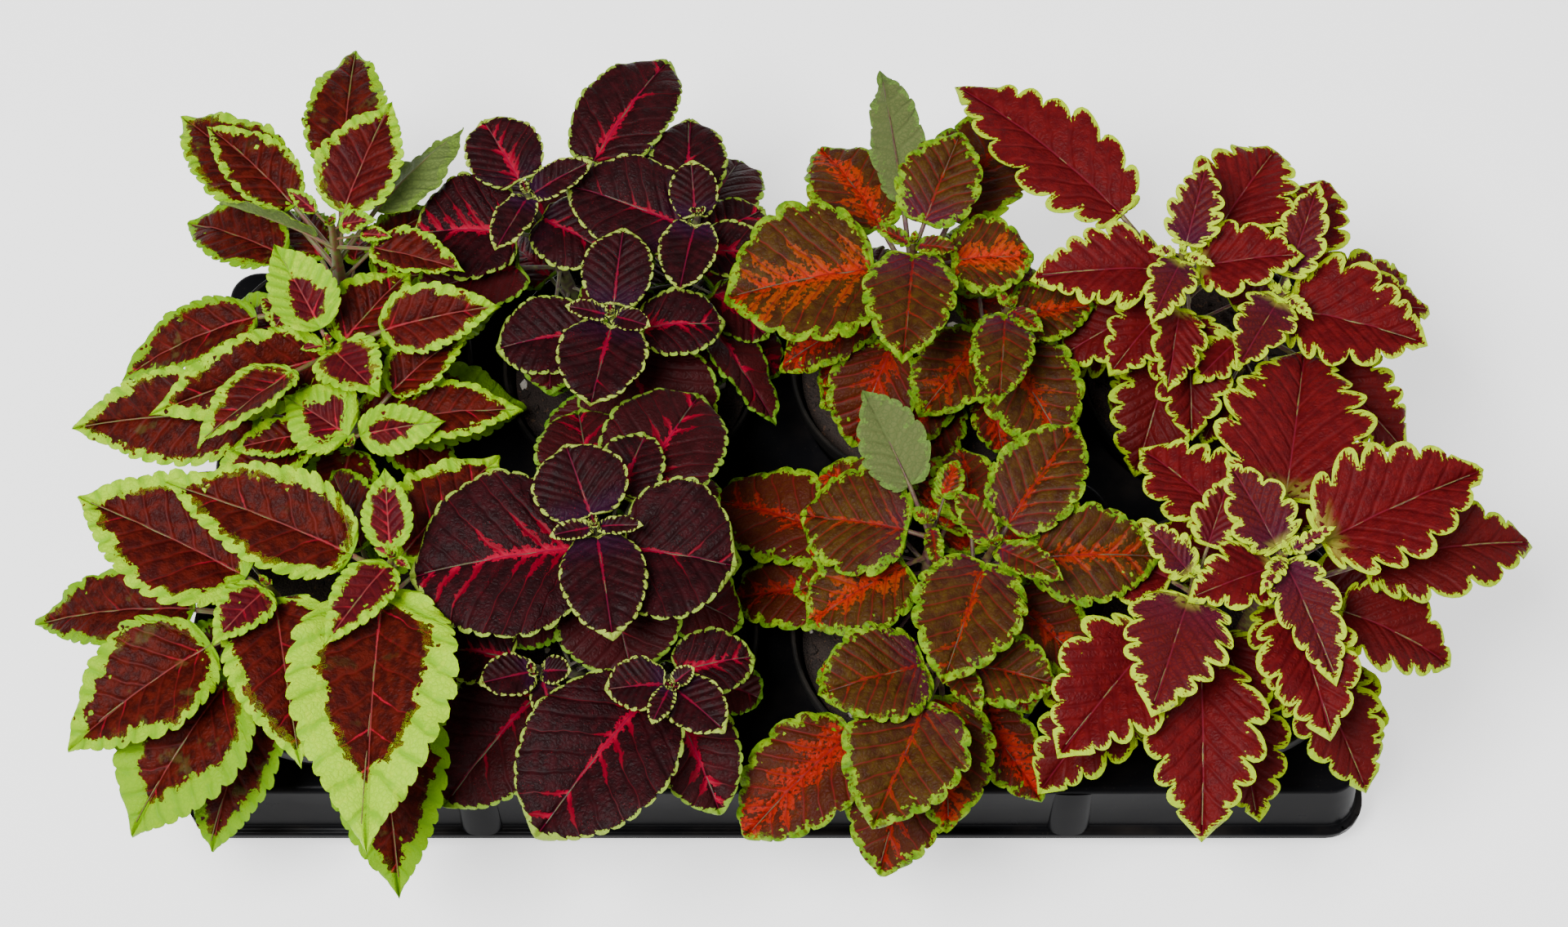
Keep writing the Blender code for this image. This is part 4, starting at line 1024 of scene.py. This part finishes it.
def grow_hairs(shoot, number, rng):
    """Short stiff hairs, which stand out all round the stem."""
    top = shoot[4] * MM
    heights = STEM_FOOT + 0.016 + (top - STEM_FOOT - 0.018) * rng.random(HAIRS)
    turns = rng.random(HAIRS) * 2 * np.pi
    out = np.stack([np.cos(turns), np.sin(turns), 0 * turns], -1)
    around = np.stack([-np.sin(turns), np.cos(turns), 0 * turns], -1)
    up = np.array((0.0, 0.0, 1.0))
    axis = np.array([stem_axis(shoot, height) for height in heights])
    foot = axis + out * (stem_radius(heights, top) * 0.85)[:, None]
    long = HAIR_LENGTH * (0.6 + 0.8 * rng.random(HAIRS))[:, None]
    tip = foot + out * long + up * long * rng.uniform(-0.3, 0.3, (HAIRS, 1))
    base = [foot + HAIR_RADIUS * (around * math.cos(a) + up * math.sin(a)) for a in (0, 2.1, 4.2)]
    points = np.stack(base + [tip], 1).reshape(-1, 3)
    corners = np.array([(0, 1, 3), (1, 2, 3), (2, 0, 3), (0, 2, 1)])
    none = np.zeros((len(points), 3))
    return dict(points=points, quads=np.zeros((0, 4), int), material=1,
                fans=(np.arange(HAIRS)[:, None, None] * 4 + corners).reshape(-1, 3),
                chart=np.tile([(0.0, 0.0), (0.1, 0.0), (0.0, 0.1), (0.1, 0.1)], (HAIRS, 1)),
                margin=none, veins=none, part=none, nature=none, flat=none + 37.0 * number)


def low_leaves(shoot, cut, taken, solids, rng):
    """Older leaves deep in the plant, one for every free place that a draw finds. Each keeps
    clear of all solids and of the low leaves before it, and stays over the tray."""
    found = []
    reach = np.linspace(0, 1, 10)[1:]
    across = np.linspace(-0.9, 0.9, 7)
    bar = np.linspace(0.3, 1, 5)[:, None]
    for _ in range(LOW_LEAF_DRAWS):
        if len(found) == LOW_LEAVES:
            break
        length = rng.uniform(28, 60)
        heading = shoot[5][0][0] + 45 * rng.integers(8) + rng.uniform(-20, 20)
        drop = rng.uniform(cut["low"], shoot[4] - LOW_LEAF_DEPTH)
        stalk = rng.uniform(9, 26)
        leaf = Leaf(shoot, heading, drop, stalk, length, length * cut["slender"], rng.normal(0, 12))
        edge_x, edge_y = outline(cut, reach)
        x = np.repeat(edge_x[:, None] * leaf.length, len(across), 1)
        y = edge_y[:, None] * leaf.half * across
        blade = leaf.place(x, y, math.tan(math.radians(cut["fold"])) * np.abs(y)).reshape(-1, 3)
        spots = np.concatenate([blade, leaf.root + (leaf.base - leaf.root) * bar])
        if (np.abs(spots[:, :2] - (0, LOW_LEAF_MIDDLE_Y)) >= LOW_LEAF_REACH).any():
            continue
        if any(solids.find_nearest(Vector(spot), LOW_LEAF_GAP)[0] for spot in spots):
            continue
        if taken and np.linalg.norm(np.concatenate(taken)[:, None] - spots, axis=-1).min() < LOW_LEAF_SPACE:
            continue
        taken.append(spots)
        found.append(leaf)
    return found


def tip_leaflets(shoot):
    """Two folded pairs of leaflets that close the tip of a shoot."""
    leaflets = []
    for turn, lift, length, width in TIP_LEAFLETS:
        leaflet = Leaf(shoot, shoot[5][0][0] + 90 + turn, 0, 0.3, length, width)
        leaflet.settle(lift, 0, 1.0)
        leaflets.append(leaflet)
    return leaflets


def make_shoot(name, chunks, materials):
    """One mesh of a shoot's parts, with a cell of the baking map for each."""

    def gather(key):
        return np.concatenate([chunk[key] for chunk in chunks]).astype(np.float32).ravel()

    starts = np.cumsum([0] + [len(chunk["points"]) for chunk in chunks])
    quads, fans = (np.concatenate([chunk[key] + start for chunk, start in zip(chunks, starts)])
                   for key in ("quads", "fans"))
    corners = np.concatenate([quads.ravel(), fans.ravel()]).astype(np.int32)
    face_starts = np.concatenate([np.arange(len(quads)) * 4, len(quads) * 4 + np.arange(len(fans)) * 3])
    slots = np.concatenate([np.full(len(chunk[key]), chunk["material"])
                            for key in ("quads", "fans") for chunk in chunks])
    mesh = bpy.data.meshes.new(name)
    mesh.vertices.add(int(starts[-1]))
    mesh.vertices.foreach_set("co", gather("points"))
    mesh.loops.add(len(corners))
    mesh.loops.foreach_set("vertex_index", corners)
    mesh.polygons.add(len(face_starts))
    mesh.polygons.foreach_set("loop_start", face_starts.astype(np.int32))
    mesh.polygons.foreach_set("material_index", slots.astype(np.int32))
    mesh.update(calc_edges=True)
    for label in ("margin", "veins", "part", "nature", "flat"):
        mesh.attributes.new(label, "FLOAT_VECTOR", "POINT").data.foreach_set("vector", gather(label))
    grid = math.ceil(math.sqrt(len(chunks)))
    charts = np.concatenate([(chunk["chart"] * 0.98 + 0.01 + (i % grid, i // grid)) / grid
                             for i, chunk in enumerate(chunks)])
    baking = mesh.uv_layers.new(name="OFBake")
    baking.data.foreach_set("uv", charts[corners].astype(np.float32).ravel())
    for material in materials:
        mesh.materials.append(material)
    piece = bpy.data.objects.new(name, mesh)
    bpy.context.collection.objects.link(piece)
    return piece


# What the leaf materials read from a blade, in millimetres where it is a distance
MEASURES = ("Margin", "Run", "Half", "Middle", "Side vein", "Vein number", "Reach", "Along", "Under",
            "Tooth", "Seed", "Age", "Luck", "Flat")
tree, given, result = start_group("Leaf measures", (), MEASURES)
margin, veins, part, nature = (read(tree, "Attribute", "Vector", attribute_name=label).parts()
                               for label in ("margin", "veins", "part", "nature"))
flat = read(tree, "Attribute", "Vector", attribute_name="flat")
middle = veins[0].math("ABSOLUTE")
# The side veins wander a little off their straight course
phase = veins[1] + (flat.noise(0.10, 1.0) - 0.5) * 0.45 * middle.rise(0.0, 6.0)
nearest = phase.math("ROUND")
off_vein = (phase - nearest).math("ABSOLUTE") * veins[2]
measured = *margin, middle, off_vein, nearest, middle / margin[2], *part, *nature, flat
for label, value in zip(MEASURES, measured):
    fill(result[label], value)

# A coloured band along the margin. Its inner edge steps from one side vein to the next and
# follows the small cells of the leaf, so it is blocky or streaked, and single cells stray.
tree, given, result = start_group(
    "Ragged margin band", ("Flat", "Margin", "Run", "Seed", "Width", "Blocks", "Cell size", "Streaks",
                           "Strays", "Vein number", "Steps"), ("Band",))
cell_luck = given["Flat"].cells(1.0 / given["Cell size"], "Color").parts("Color")
jitter = (cell_luck[0] - 0.5) * given["Blocks"]
drift = (given["Flat"].noise(0.16) - 0.5) * (given["Blocks"] * 3.6)
line = place_at(given["Run"] * 0.9, given["Margin"] * 0.16, given["Seed"] * 900)
streak = (line.noise(1.0, 3.0) - 0.5) * given["Streaks"]
stray = cell_luck[1].math("GREATER_THAN", 1.0 - given["Strays"]) * 5.0 * (cell_luck[2] * 2.0 - 1.0)
half_sign = given["Flat"].parts()[1].math("SIGN")
step = (place_at(given["Vein number"], half_sign, given["Seed"]).lot() - 0.5) * given["Steps"]
edge = given["Width"] + jitter + (drift + (streak + stray)) + step
fill(result["Band"], (edge - given["Margin"]).rise(-0.18, 0.18))

# Flames of bright colour along the midrib and some side veins, with jagged edges
tree, given, result = start_group(
    "Vein flames", ("Flat", "Middle", "Side vein", "Vein number", "Reach", "Along", "Seed", "Width",
                    "Side width", "Side share", "Start", "End"), ("Flame",))
middle, side_vein, along = given["Middle"], given["Side vein"], given["Along"]
x, y, leaf_number = given["Flat"].parts()
half_sign = y.math("SIGN")
blocky = given["Flat"].cells(0.55, "Color").parts("Color")[0]
jag = place_at((x - middle * 0.7) * 0.55, half_sign, leaf_number).noise(1.0, 3.0)
jag = jag * (given["Width"] * 2.0) * (0.45 + blocky * 1.1)
lasting = along.rise(given["Start"], given["Start"] + 0.12) * along.rise(given["End"], given["End"] - 0.45)
main = (jag * lasting - middle).rise(-0.25, 0.25)
luck = place_at(given["Vein number"], half_sign, given["Seed"]).lot()
far = 0.22 + luck * 0.7
jag = place_at((middle + side_vein) * 0.55, given["Vein number"], leaf_number).noise(1.0, 3.0)
jag = jag * (given["Side width"] * 2.0) * (0.4 + blocky * 1.2) * given["Reach"].rise(far, far * 0.45)
lit = luck.math("LESS_THAN", given["Side share"])
side = (jag - side_vein).rise(-0.25, 0.25) * lit * along.rise(0.02, 0.08)
fill(result["Flame"], main.math("MAXIMUM", side))

# The vein net: lines for colour, and the height of the quilted blade between them. Veins are
# sunk on the upper face and stand out on the lower.
tree, given, result = start_group("Vein net", ("Flat", "Middle", "Side vein", "Under", "Along"),
                                  ("Lines", "Main lines", "Height", "Mottle"))
flat, middle, side_vein = given["Flat"], given["Middle"], given["Side vein"]
warp = flat.through("TexNoise", {"Vector": flat, "Scale": 0.5, "Detail": 1.0}, "Color")
bent = flat.through("VectorMath", {0: flat, 1: warp}, operation="ADD")
net = bent.cells(0.42, feature="DISTANCE_TO_EDGE")
mains = middle.rise(given["Along"].between(0.75, 0.25), 0.1).math("MAXIMUM", side_vein.rise(0.55, 0.05) * 0.8)
pillow = net.math("MINIMUM", 0.42) * 1.3
near_vein = side_vein.rise(0.0, 1.5) * middle.rise(0.0, 1.4)
height = (pillow * 0.9 + bent.noise(1.3, 1.0) * 0.5) * near_vein + near_vein * 0.55
fill(result["Lines"], net.rise(0.16, 0.02).math("MAXIMUM", mains))
fill(result["Main lines"], mains)
fill(result["Height"], height * (1.0 - given["Under"] * 2.0))
fill(result["Mottle"], flat.noise(0.22, 3.0))


def start_leaf(name):
    """A leaf material, and all that it reads from the blade and its vein net, by name."""
    material, tree = start_material(name)
    leaf = use_group(tree, "Leaf measures", {})
    return material, {**leaf, **use_group(tree, "Vein net", leaf)}


def marking(leaf, group, values):
    """What a group of markings gives on a leaf. It takes the leaf's measures and these values."""
    values = {name.replace("_", " "): value for name, value in values.items()}
    return use_group(leaf["Flat"].socket.id_data, group, {**leaf, **values})


def band(leaf, **values):
    return marking(leaf, "Ragged margin band", values)["Band"]


def flames(leaf, **values):
    return marking(leaf, "Vein flames", values)["Flame"]


def coats(colour, *layers):
    """A colour with shades laid over it in turn, each by its share."""
    for share, shade in layers:
        colour = share.mix(colour, shade)
    return colour


def finish_leaf(leaf, top, under):
    """The gloss, relief and paler underside that all four varieties share."""
    colour = leaf["Under"].mix(top, (leaf["Lines"] * 0.5).mix(under, (66, 82, 42)))
    rough = 0.40 + leaf["Mottle"] * 0.22 + leaf["Under"] * 0.2
    surface(leaf["Flat"].socket.id_data, colour, rough, leaf["Height"], 0.65, 0.0008, gloss=0.07)


leaf_materials = {}

# Lime variety: burgundy brown heart in a yellow-green margin with a blocky inner edge
leaf_materials["lime"], leaf = start_leaf("Lime and burgundy leaf")
young = leaf["Age"].rise(0.35, 0.05)
pink = flames(leaf, Width=0.7, Side_width=0.35, Side_share=0.25, Start=0.0, End=0.5)
mossy = leaf["Flat"].noise(0.09, 4.0).rise(0.60, 0.69) * 0.55
heart = coats(leaf["Mottle"].rise(0.36, 0.66).mix((48, 8, 5), (75, 16, 7)),
              (young * 0.5, (80, 12, 30)),
              (leaf["Side vein"].rise(0.8, 0.1) * 0.2, (100, 22, 20)),
              (pink * leaf["Luck"].between(0.15, 0.8), (168, 10, 44)),
              (leaf["Middle"].rise(0.42, 0.12) * 0.55, (128, 58, 56)),
              (mossy * leaf["Age"].rise(0.3, 0.7), (72, 66, 28)))
# The margin green is darker by the side veins and lighter between them: partly the paler tissue between the
# veins, partly a painted highlight on the raised cushions there.
fresh = coats(leaf["Side vein"].rise(0.0, 3.0).mix((116, 166, 0), (150, 194, 0)),
              (leaf["Mottle"].rise(0.48, 0.78), (162, 198, 0)),
              (leaf["Age"].rise(0.5, 1.0) * 0.8, (94, 140, 0)),
              (leaf["Lines"] * 0.28, (100, 148, 0)))
share = leaf["Luck"].between(0.13, 0.23) * young.between(1.0, 1.7)
broad_tip = leaf["Luck"].rise(0.75, 0.95).between(1.15, 2.2)
width = leaf["Half"] * (share * leaf["Along"].between(0.75, broad_tip))
lime_band = band(leaf, Width=width, Blocks=1.7, Cell_size=1.6, Streaks=1.6, Strays=0.025,
                 Steps=leaf["Half"] * 0.14)
finish_leaf(leaf, lime_band.mix(heart, fresh), (lime_band * 0.7).mix((92, 108, 54), (104, 134, 44)))

# Dark variety: black-maroon blade, a crimson flame, and a thin broken line of green at the edge
leaf_materials["dark"], leaf = start_leaf("Black-maroon leaf")
strength = leaf["Age"].rise(0.08, 0.40) * leaf["Luck"].between(0.15, 1.0)
flame = flames(leaf, Width=strength.between(0.4, 2.5), Side_width=strength.between(0.0, 1.4),
               Side_share=strength.between(0.0, 0.55), Start=0.03, End=0.80)
glow = leaf["Middle"].rise(0.4, 4.0).mix((152, 0, 40), (112, 0, 24))
freckle = leaf["Flat"].cells(0.9).rise(0.16, 0.08) * leaf["Flat"].noise(0.12).rise(0.5, 0.62)
heart = coats(leaf["Mottle"].rise(0.35, 0.7).mix((27, 6, 8), (46, 8, 13)),
              (leaf["Along"].rise(0.40, 0.0) * leaf["Age"].rise(0.4, 0.1), (42, 12, 40)),
              (leaf["Lines"] * 0.30, (26, 6, 10)),
              (leaf["Age"].rise(0.55, 1.0) * 0.5, (70, 18, 18)),
              (flame * strength.between(0.45, 1.0), glow),
              (freckle * 0.6, (150, 10, 28)),
              (leaf["Middle"].rise(0.40, 0.12) * 0.6, (92, 10, 44)))
green_tip = leaf["Age"] * 0.8 + leaf["Along"].rise(0.86, 0.98) * 1.8
green_edge = band(leaf, Width=leaf["Tooth"].between(-0.7, 1.1) + green_tip, Blocks=0.7, Cell_size=0.8,
                  Streaks=1.2, Strays=0.0, Steps=0.3)
fresh = leaf["Age"].mix((158, 176, 66), (88, 132, 24))
finish_leaf(leaf, green_edge.mix(heart, fresh), (green_edge * 0.8).mix((86, 52, 62), (100, 128, 70)))

# Olive variety: olive-brown blade, an orange flame with dark red veins, green blotched edge
leaf_materials["olive"], leaf = start_leaf("Olive and orange leaf")
strength = leaf["Age"].rise(0.14, 0.50) * leaf["Luck"].between(0.35, 1.0)
flame = flames(leaf, Width=strength.between(0.4, 5.0), Side_width=strength.between(0.3, 3.4),
               Side_share=strength.between(0.25, 0.8), Start=0.02, End=1.0)
glow = coats(leaf["Middle"].rise(0.0, 7.0).mix((178, 37, 5), (148, 58, 9)),
             (leaf["Age"].rise(0.5, 0.9) * 0.8, (146, 20, 9)))
flecks = leaf["Flat"].noise(0.5, 3.0).rise(0.34, 0.52)
heart = coats(leaf["Mottle"].rise(0.3, 0.7).mix((49, 26, 8), (69, 47, 9)),
              (leaf["Age"].rise(0.5, 1.0) * 0.7, (67, 19, 9)),
              (leaf["Along"].rise(0.45, 0.0) * leaf["Age"].rise(0.45, 0.1), (72, 22, 46)),
              (leaf["Lines"] * 0.35, (58, 14, 12)),
              (flame * flecks * strength.between(0.35, 0.95), glow),
              (leaf["Main lines"] * 0.75, (98, 12, 18)))
green_edge = band(leaf, Width=leaf["Half"] * 0.05 + leaf["Tooth"].between(0.2, 1.5), Blocks=2.0,
                  Cell_size=1.4, Streaks=1.8, Strays=0.08, Steps=1.6)
blotch = leaf["Flat"].noise(0.45, 3.0).rise(0.56, 0.64) * 0.7
fresh = coats(leaf["Mottle"].rise(0.35, 0.7).mix((78, 118, 8), (122, 156, 14)), (blotch, (74, 64, 14)))
finish_leaf(leaf, green_edge.mix(heart, fresh), (green_edge * 0.8).mix((88, 96, 54), (94, 124, 52)))

# Crimson variety: deep crimson lobes edged with a narrow yellow line that runs in as streaks
leaf_materials["crimson"], leaf = start_leaf("Crimson leaf")
young = leaf["Age"].rise(0.34, 0.05)
pale_fan = flames(leaf, Width=3.0, Side_width=2.2, Side_share=1.0, Start=-0.12, End=0.24)
pale_fan = pale_fan * leaf["Along"].rise(0.20, 0.05) * leaf["Luck"].math("GREATER_THAN", 0.6)
heart = coats(leaf["Mottle"].rise(0.32, 0.7).mix((76, 8, 12), (94, 13, 15)),
              (leaf["Age"].rise(0.5, 1.0) * 0.6, (70, 12, 10)),
              (young * 0.8, (84, 26, 24)),
              (leaf["Along"].rise(0.5, 0.0) * young, (66, 18, 44)),
              (leaf["Lines"] * young.between(0.10, 0.65), (50, 10, 26)),
              (leaf["Middle"].rise(0.42, 0.15) * 0.5, (112, 24, 46)),
              (pale_fan * 0.85, (138, 136, 48)))
yellow_edge = band(leaf, Width=leaf["Tooth"].between(0.7, 1.9), Blocks=0.9, Cell_size=0.9, Streaks=5.0,
                   Strays=0.006, Steps=0.4)
fresh = leaf["Age"].mix((178, 204, 6), (148, 180, 2))
finish_leaf(leaf, yellow_edge.mix(heart, fresh), (yellow_edge * 0.8).mix((116, 66, 66), (146, 162, 82)))

# Stems and stalks: juicy, finely haired skin, flushed purple in the dark-leaved varieties
STEM_SHADES = {"lime": ((92, 112, 36), (118, 66, 52)), "dark": ((58, 40, 44), (84, 92, 50)),
               "olive": ((72, 26, 38), (92, 84, 34)), "crimson": ((86, 30, 44), (122, 122, 50))}
stem_materials = {}
for variety, shades in STEM_SHADES.items():
    stem_materials[variety], tree = start_material(f"{variety.title()} variety stem")
    flat = read(tree, "Attribute", "Vector", attribute_name="flat")
    streaky = flat.through("VectorMath", {0: flat, 1: (0.15, 2.0, 1.0)}, operation="MULTIPLY")
    skin = flat.noise(0.35, 3.0).rise(0.36, 0.64).mix(*shades)
    skin = coats(skin, (streaky.noise(1.0) * 0.4, (60, 34, 30)))
    surface(tree, skin, 0.5, streaky.noise(2.0, 3.0), 0.4, 0.0003)

solids = mesh_tree(*(node.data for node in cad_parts.values()))
counts = {}
taken = []
number = 0
for shoot in SHOOTS:
    variety, row = shoot[:2]
    key = f"{variety}_{row}"
    counts[key] = counts.get(key, 0) + 1
    solid_name = f"stem_{key}_{counts[key]}"
    solid = mesh_tree(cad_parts[solid_name].data)
    cut = VARIETIES[variety]
    rng = np.random.default_rng(len(counts) * 100 + counts[key])
    chunks = [grow_stem(shoot, number, rng), grow_hairs(shoot, number, rng)]
    grown = [leaf for leaf in (Leaf(shoot, *entry) for entry in shoot[5]) if settle_on(leaf, solid) < MM]
    if len(grown) < len(shoot[5]):
        print(solid_name, "has", len(grown), "of", len(shoot[5]), "leaves")
    low = low_leaves(shoot, cut, taken, solids, rng)
    for leaf in grown + tip_leaflets(shoot) + low:
        number += 1
        chunks.append(grow_blade(leaf, cut, number, leaf in low, rng))
        chunks.append(grow_stalk(leaf, number, rng))
    skins = leaf_materials[variety], stem_materials[variety]
    piece = make_shoot(f"leafy_shoot_{key}_{counts[key]}", chunks, skins)
    smooth(piece, 60)
    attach(piece, "root")
    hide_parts(solid_name)


# Floor, light and camera
# A plain pale floor that glows a little, so it comes out near white, under soft studio light.
# The camera looks from the front and well above, as in the photograph.
FLOOR_SIZE = 12
LAMP_TARGET = Vector((0, 0, 0.1))
# Name, place, width in metres and power in watts
LAMPS = (("key", (-0.6, -0.6, 1.9), 0.75, 72), ("fill", (1.3, 0.4, 1.5), 1.3, 14))
CAMERA_ELEVATION = math.radians(64.7)
CAMERA_DISTANCE = 1.5
CAMERA_TARGET = Vector((0.0041, 0.0307, 0.060))
CAMERA_LENS = 73.3


def aim(thing, place, way):
    """Stand a lamp or the camera at a place, looking along a way."""
    thing.location = place
    thing.rotation_euler = way.to_track_quat("-Z", "Y").to_euler()


choose()
bpy.ops.mesh.primitive_plane_add(size=FLOOR_SIZE, location=(0, 0, 0))
floor = name_new("studio_floor")
material, tree = start_material("Pale floor")
shader = tree.nodes["Principled BSDF"].inputs
shader["Base Color"].default_value = (0.92, 0.92, 0.92, 1)
shader["Emission Color"].default_value = (1, 1, 1, 1)
shader["Emission Strength"].default_value = 1.0
shader["Roughness"].default_value = 0.9
floor.data.materials.append(material)

world = bpy.data.worlds.new("Studio")
bpy.context.scene.world = world
world.use_nodes = True
world.node_tree.nodes["Background"].inputs["Color"].default_value = (1, 1, 1, 1)
world.node_tree.nodes["Background"].inputs["Strength"].default_value = 0.30
for name, place, size, power in LAMPS:
    bpy.ops.object.light_add(type="AREA")
    lamp = bpy.context.object
    lamp.name = name
    lamp.data.size, lamp.data.energy = size, power
    aim(lamp, place, LAMP_TARGET - Vector(place))

bpy.ops.object.camera_add()
camera = bpy.context.object
back = Vector((0, -math.cos(CAMERA_ELEVATION), math.sin(CAMERA_ELEVATION)))
aim(camera, CAMERA_TARGET + back * CAMERA_DISTANCE, -back)
camera.data.lens = CAMERA_LENS
camera.data.sensor_width = 36
bpy.context.scene.camera = camera
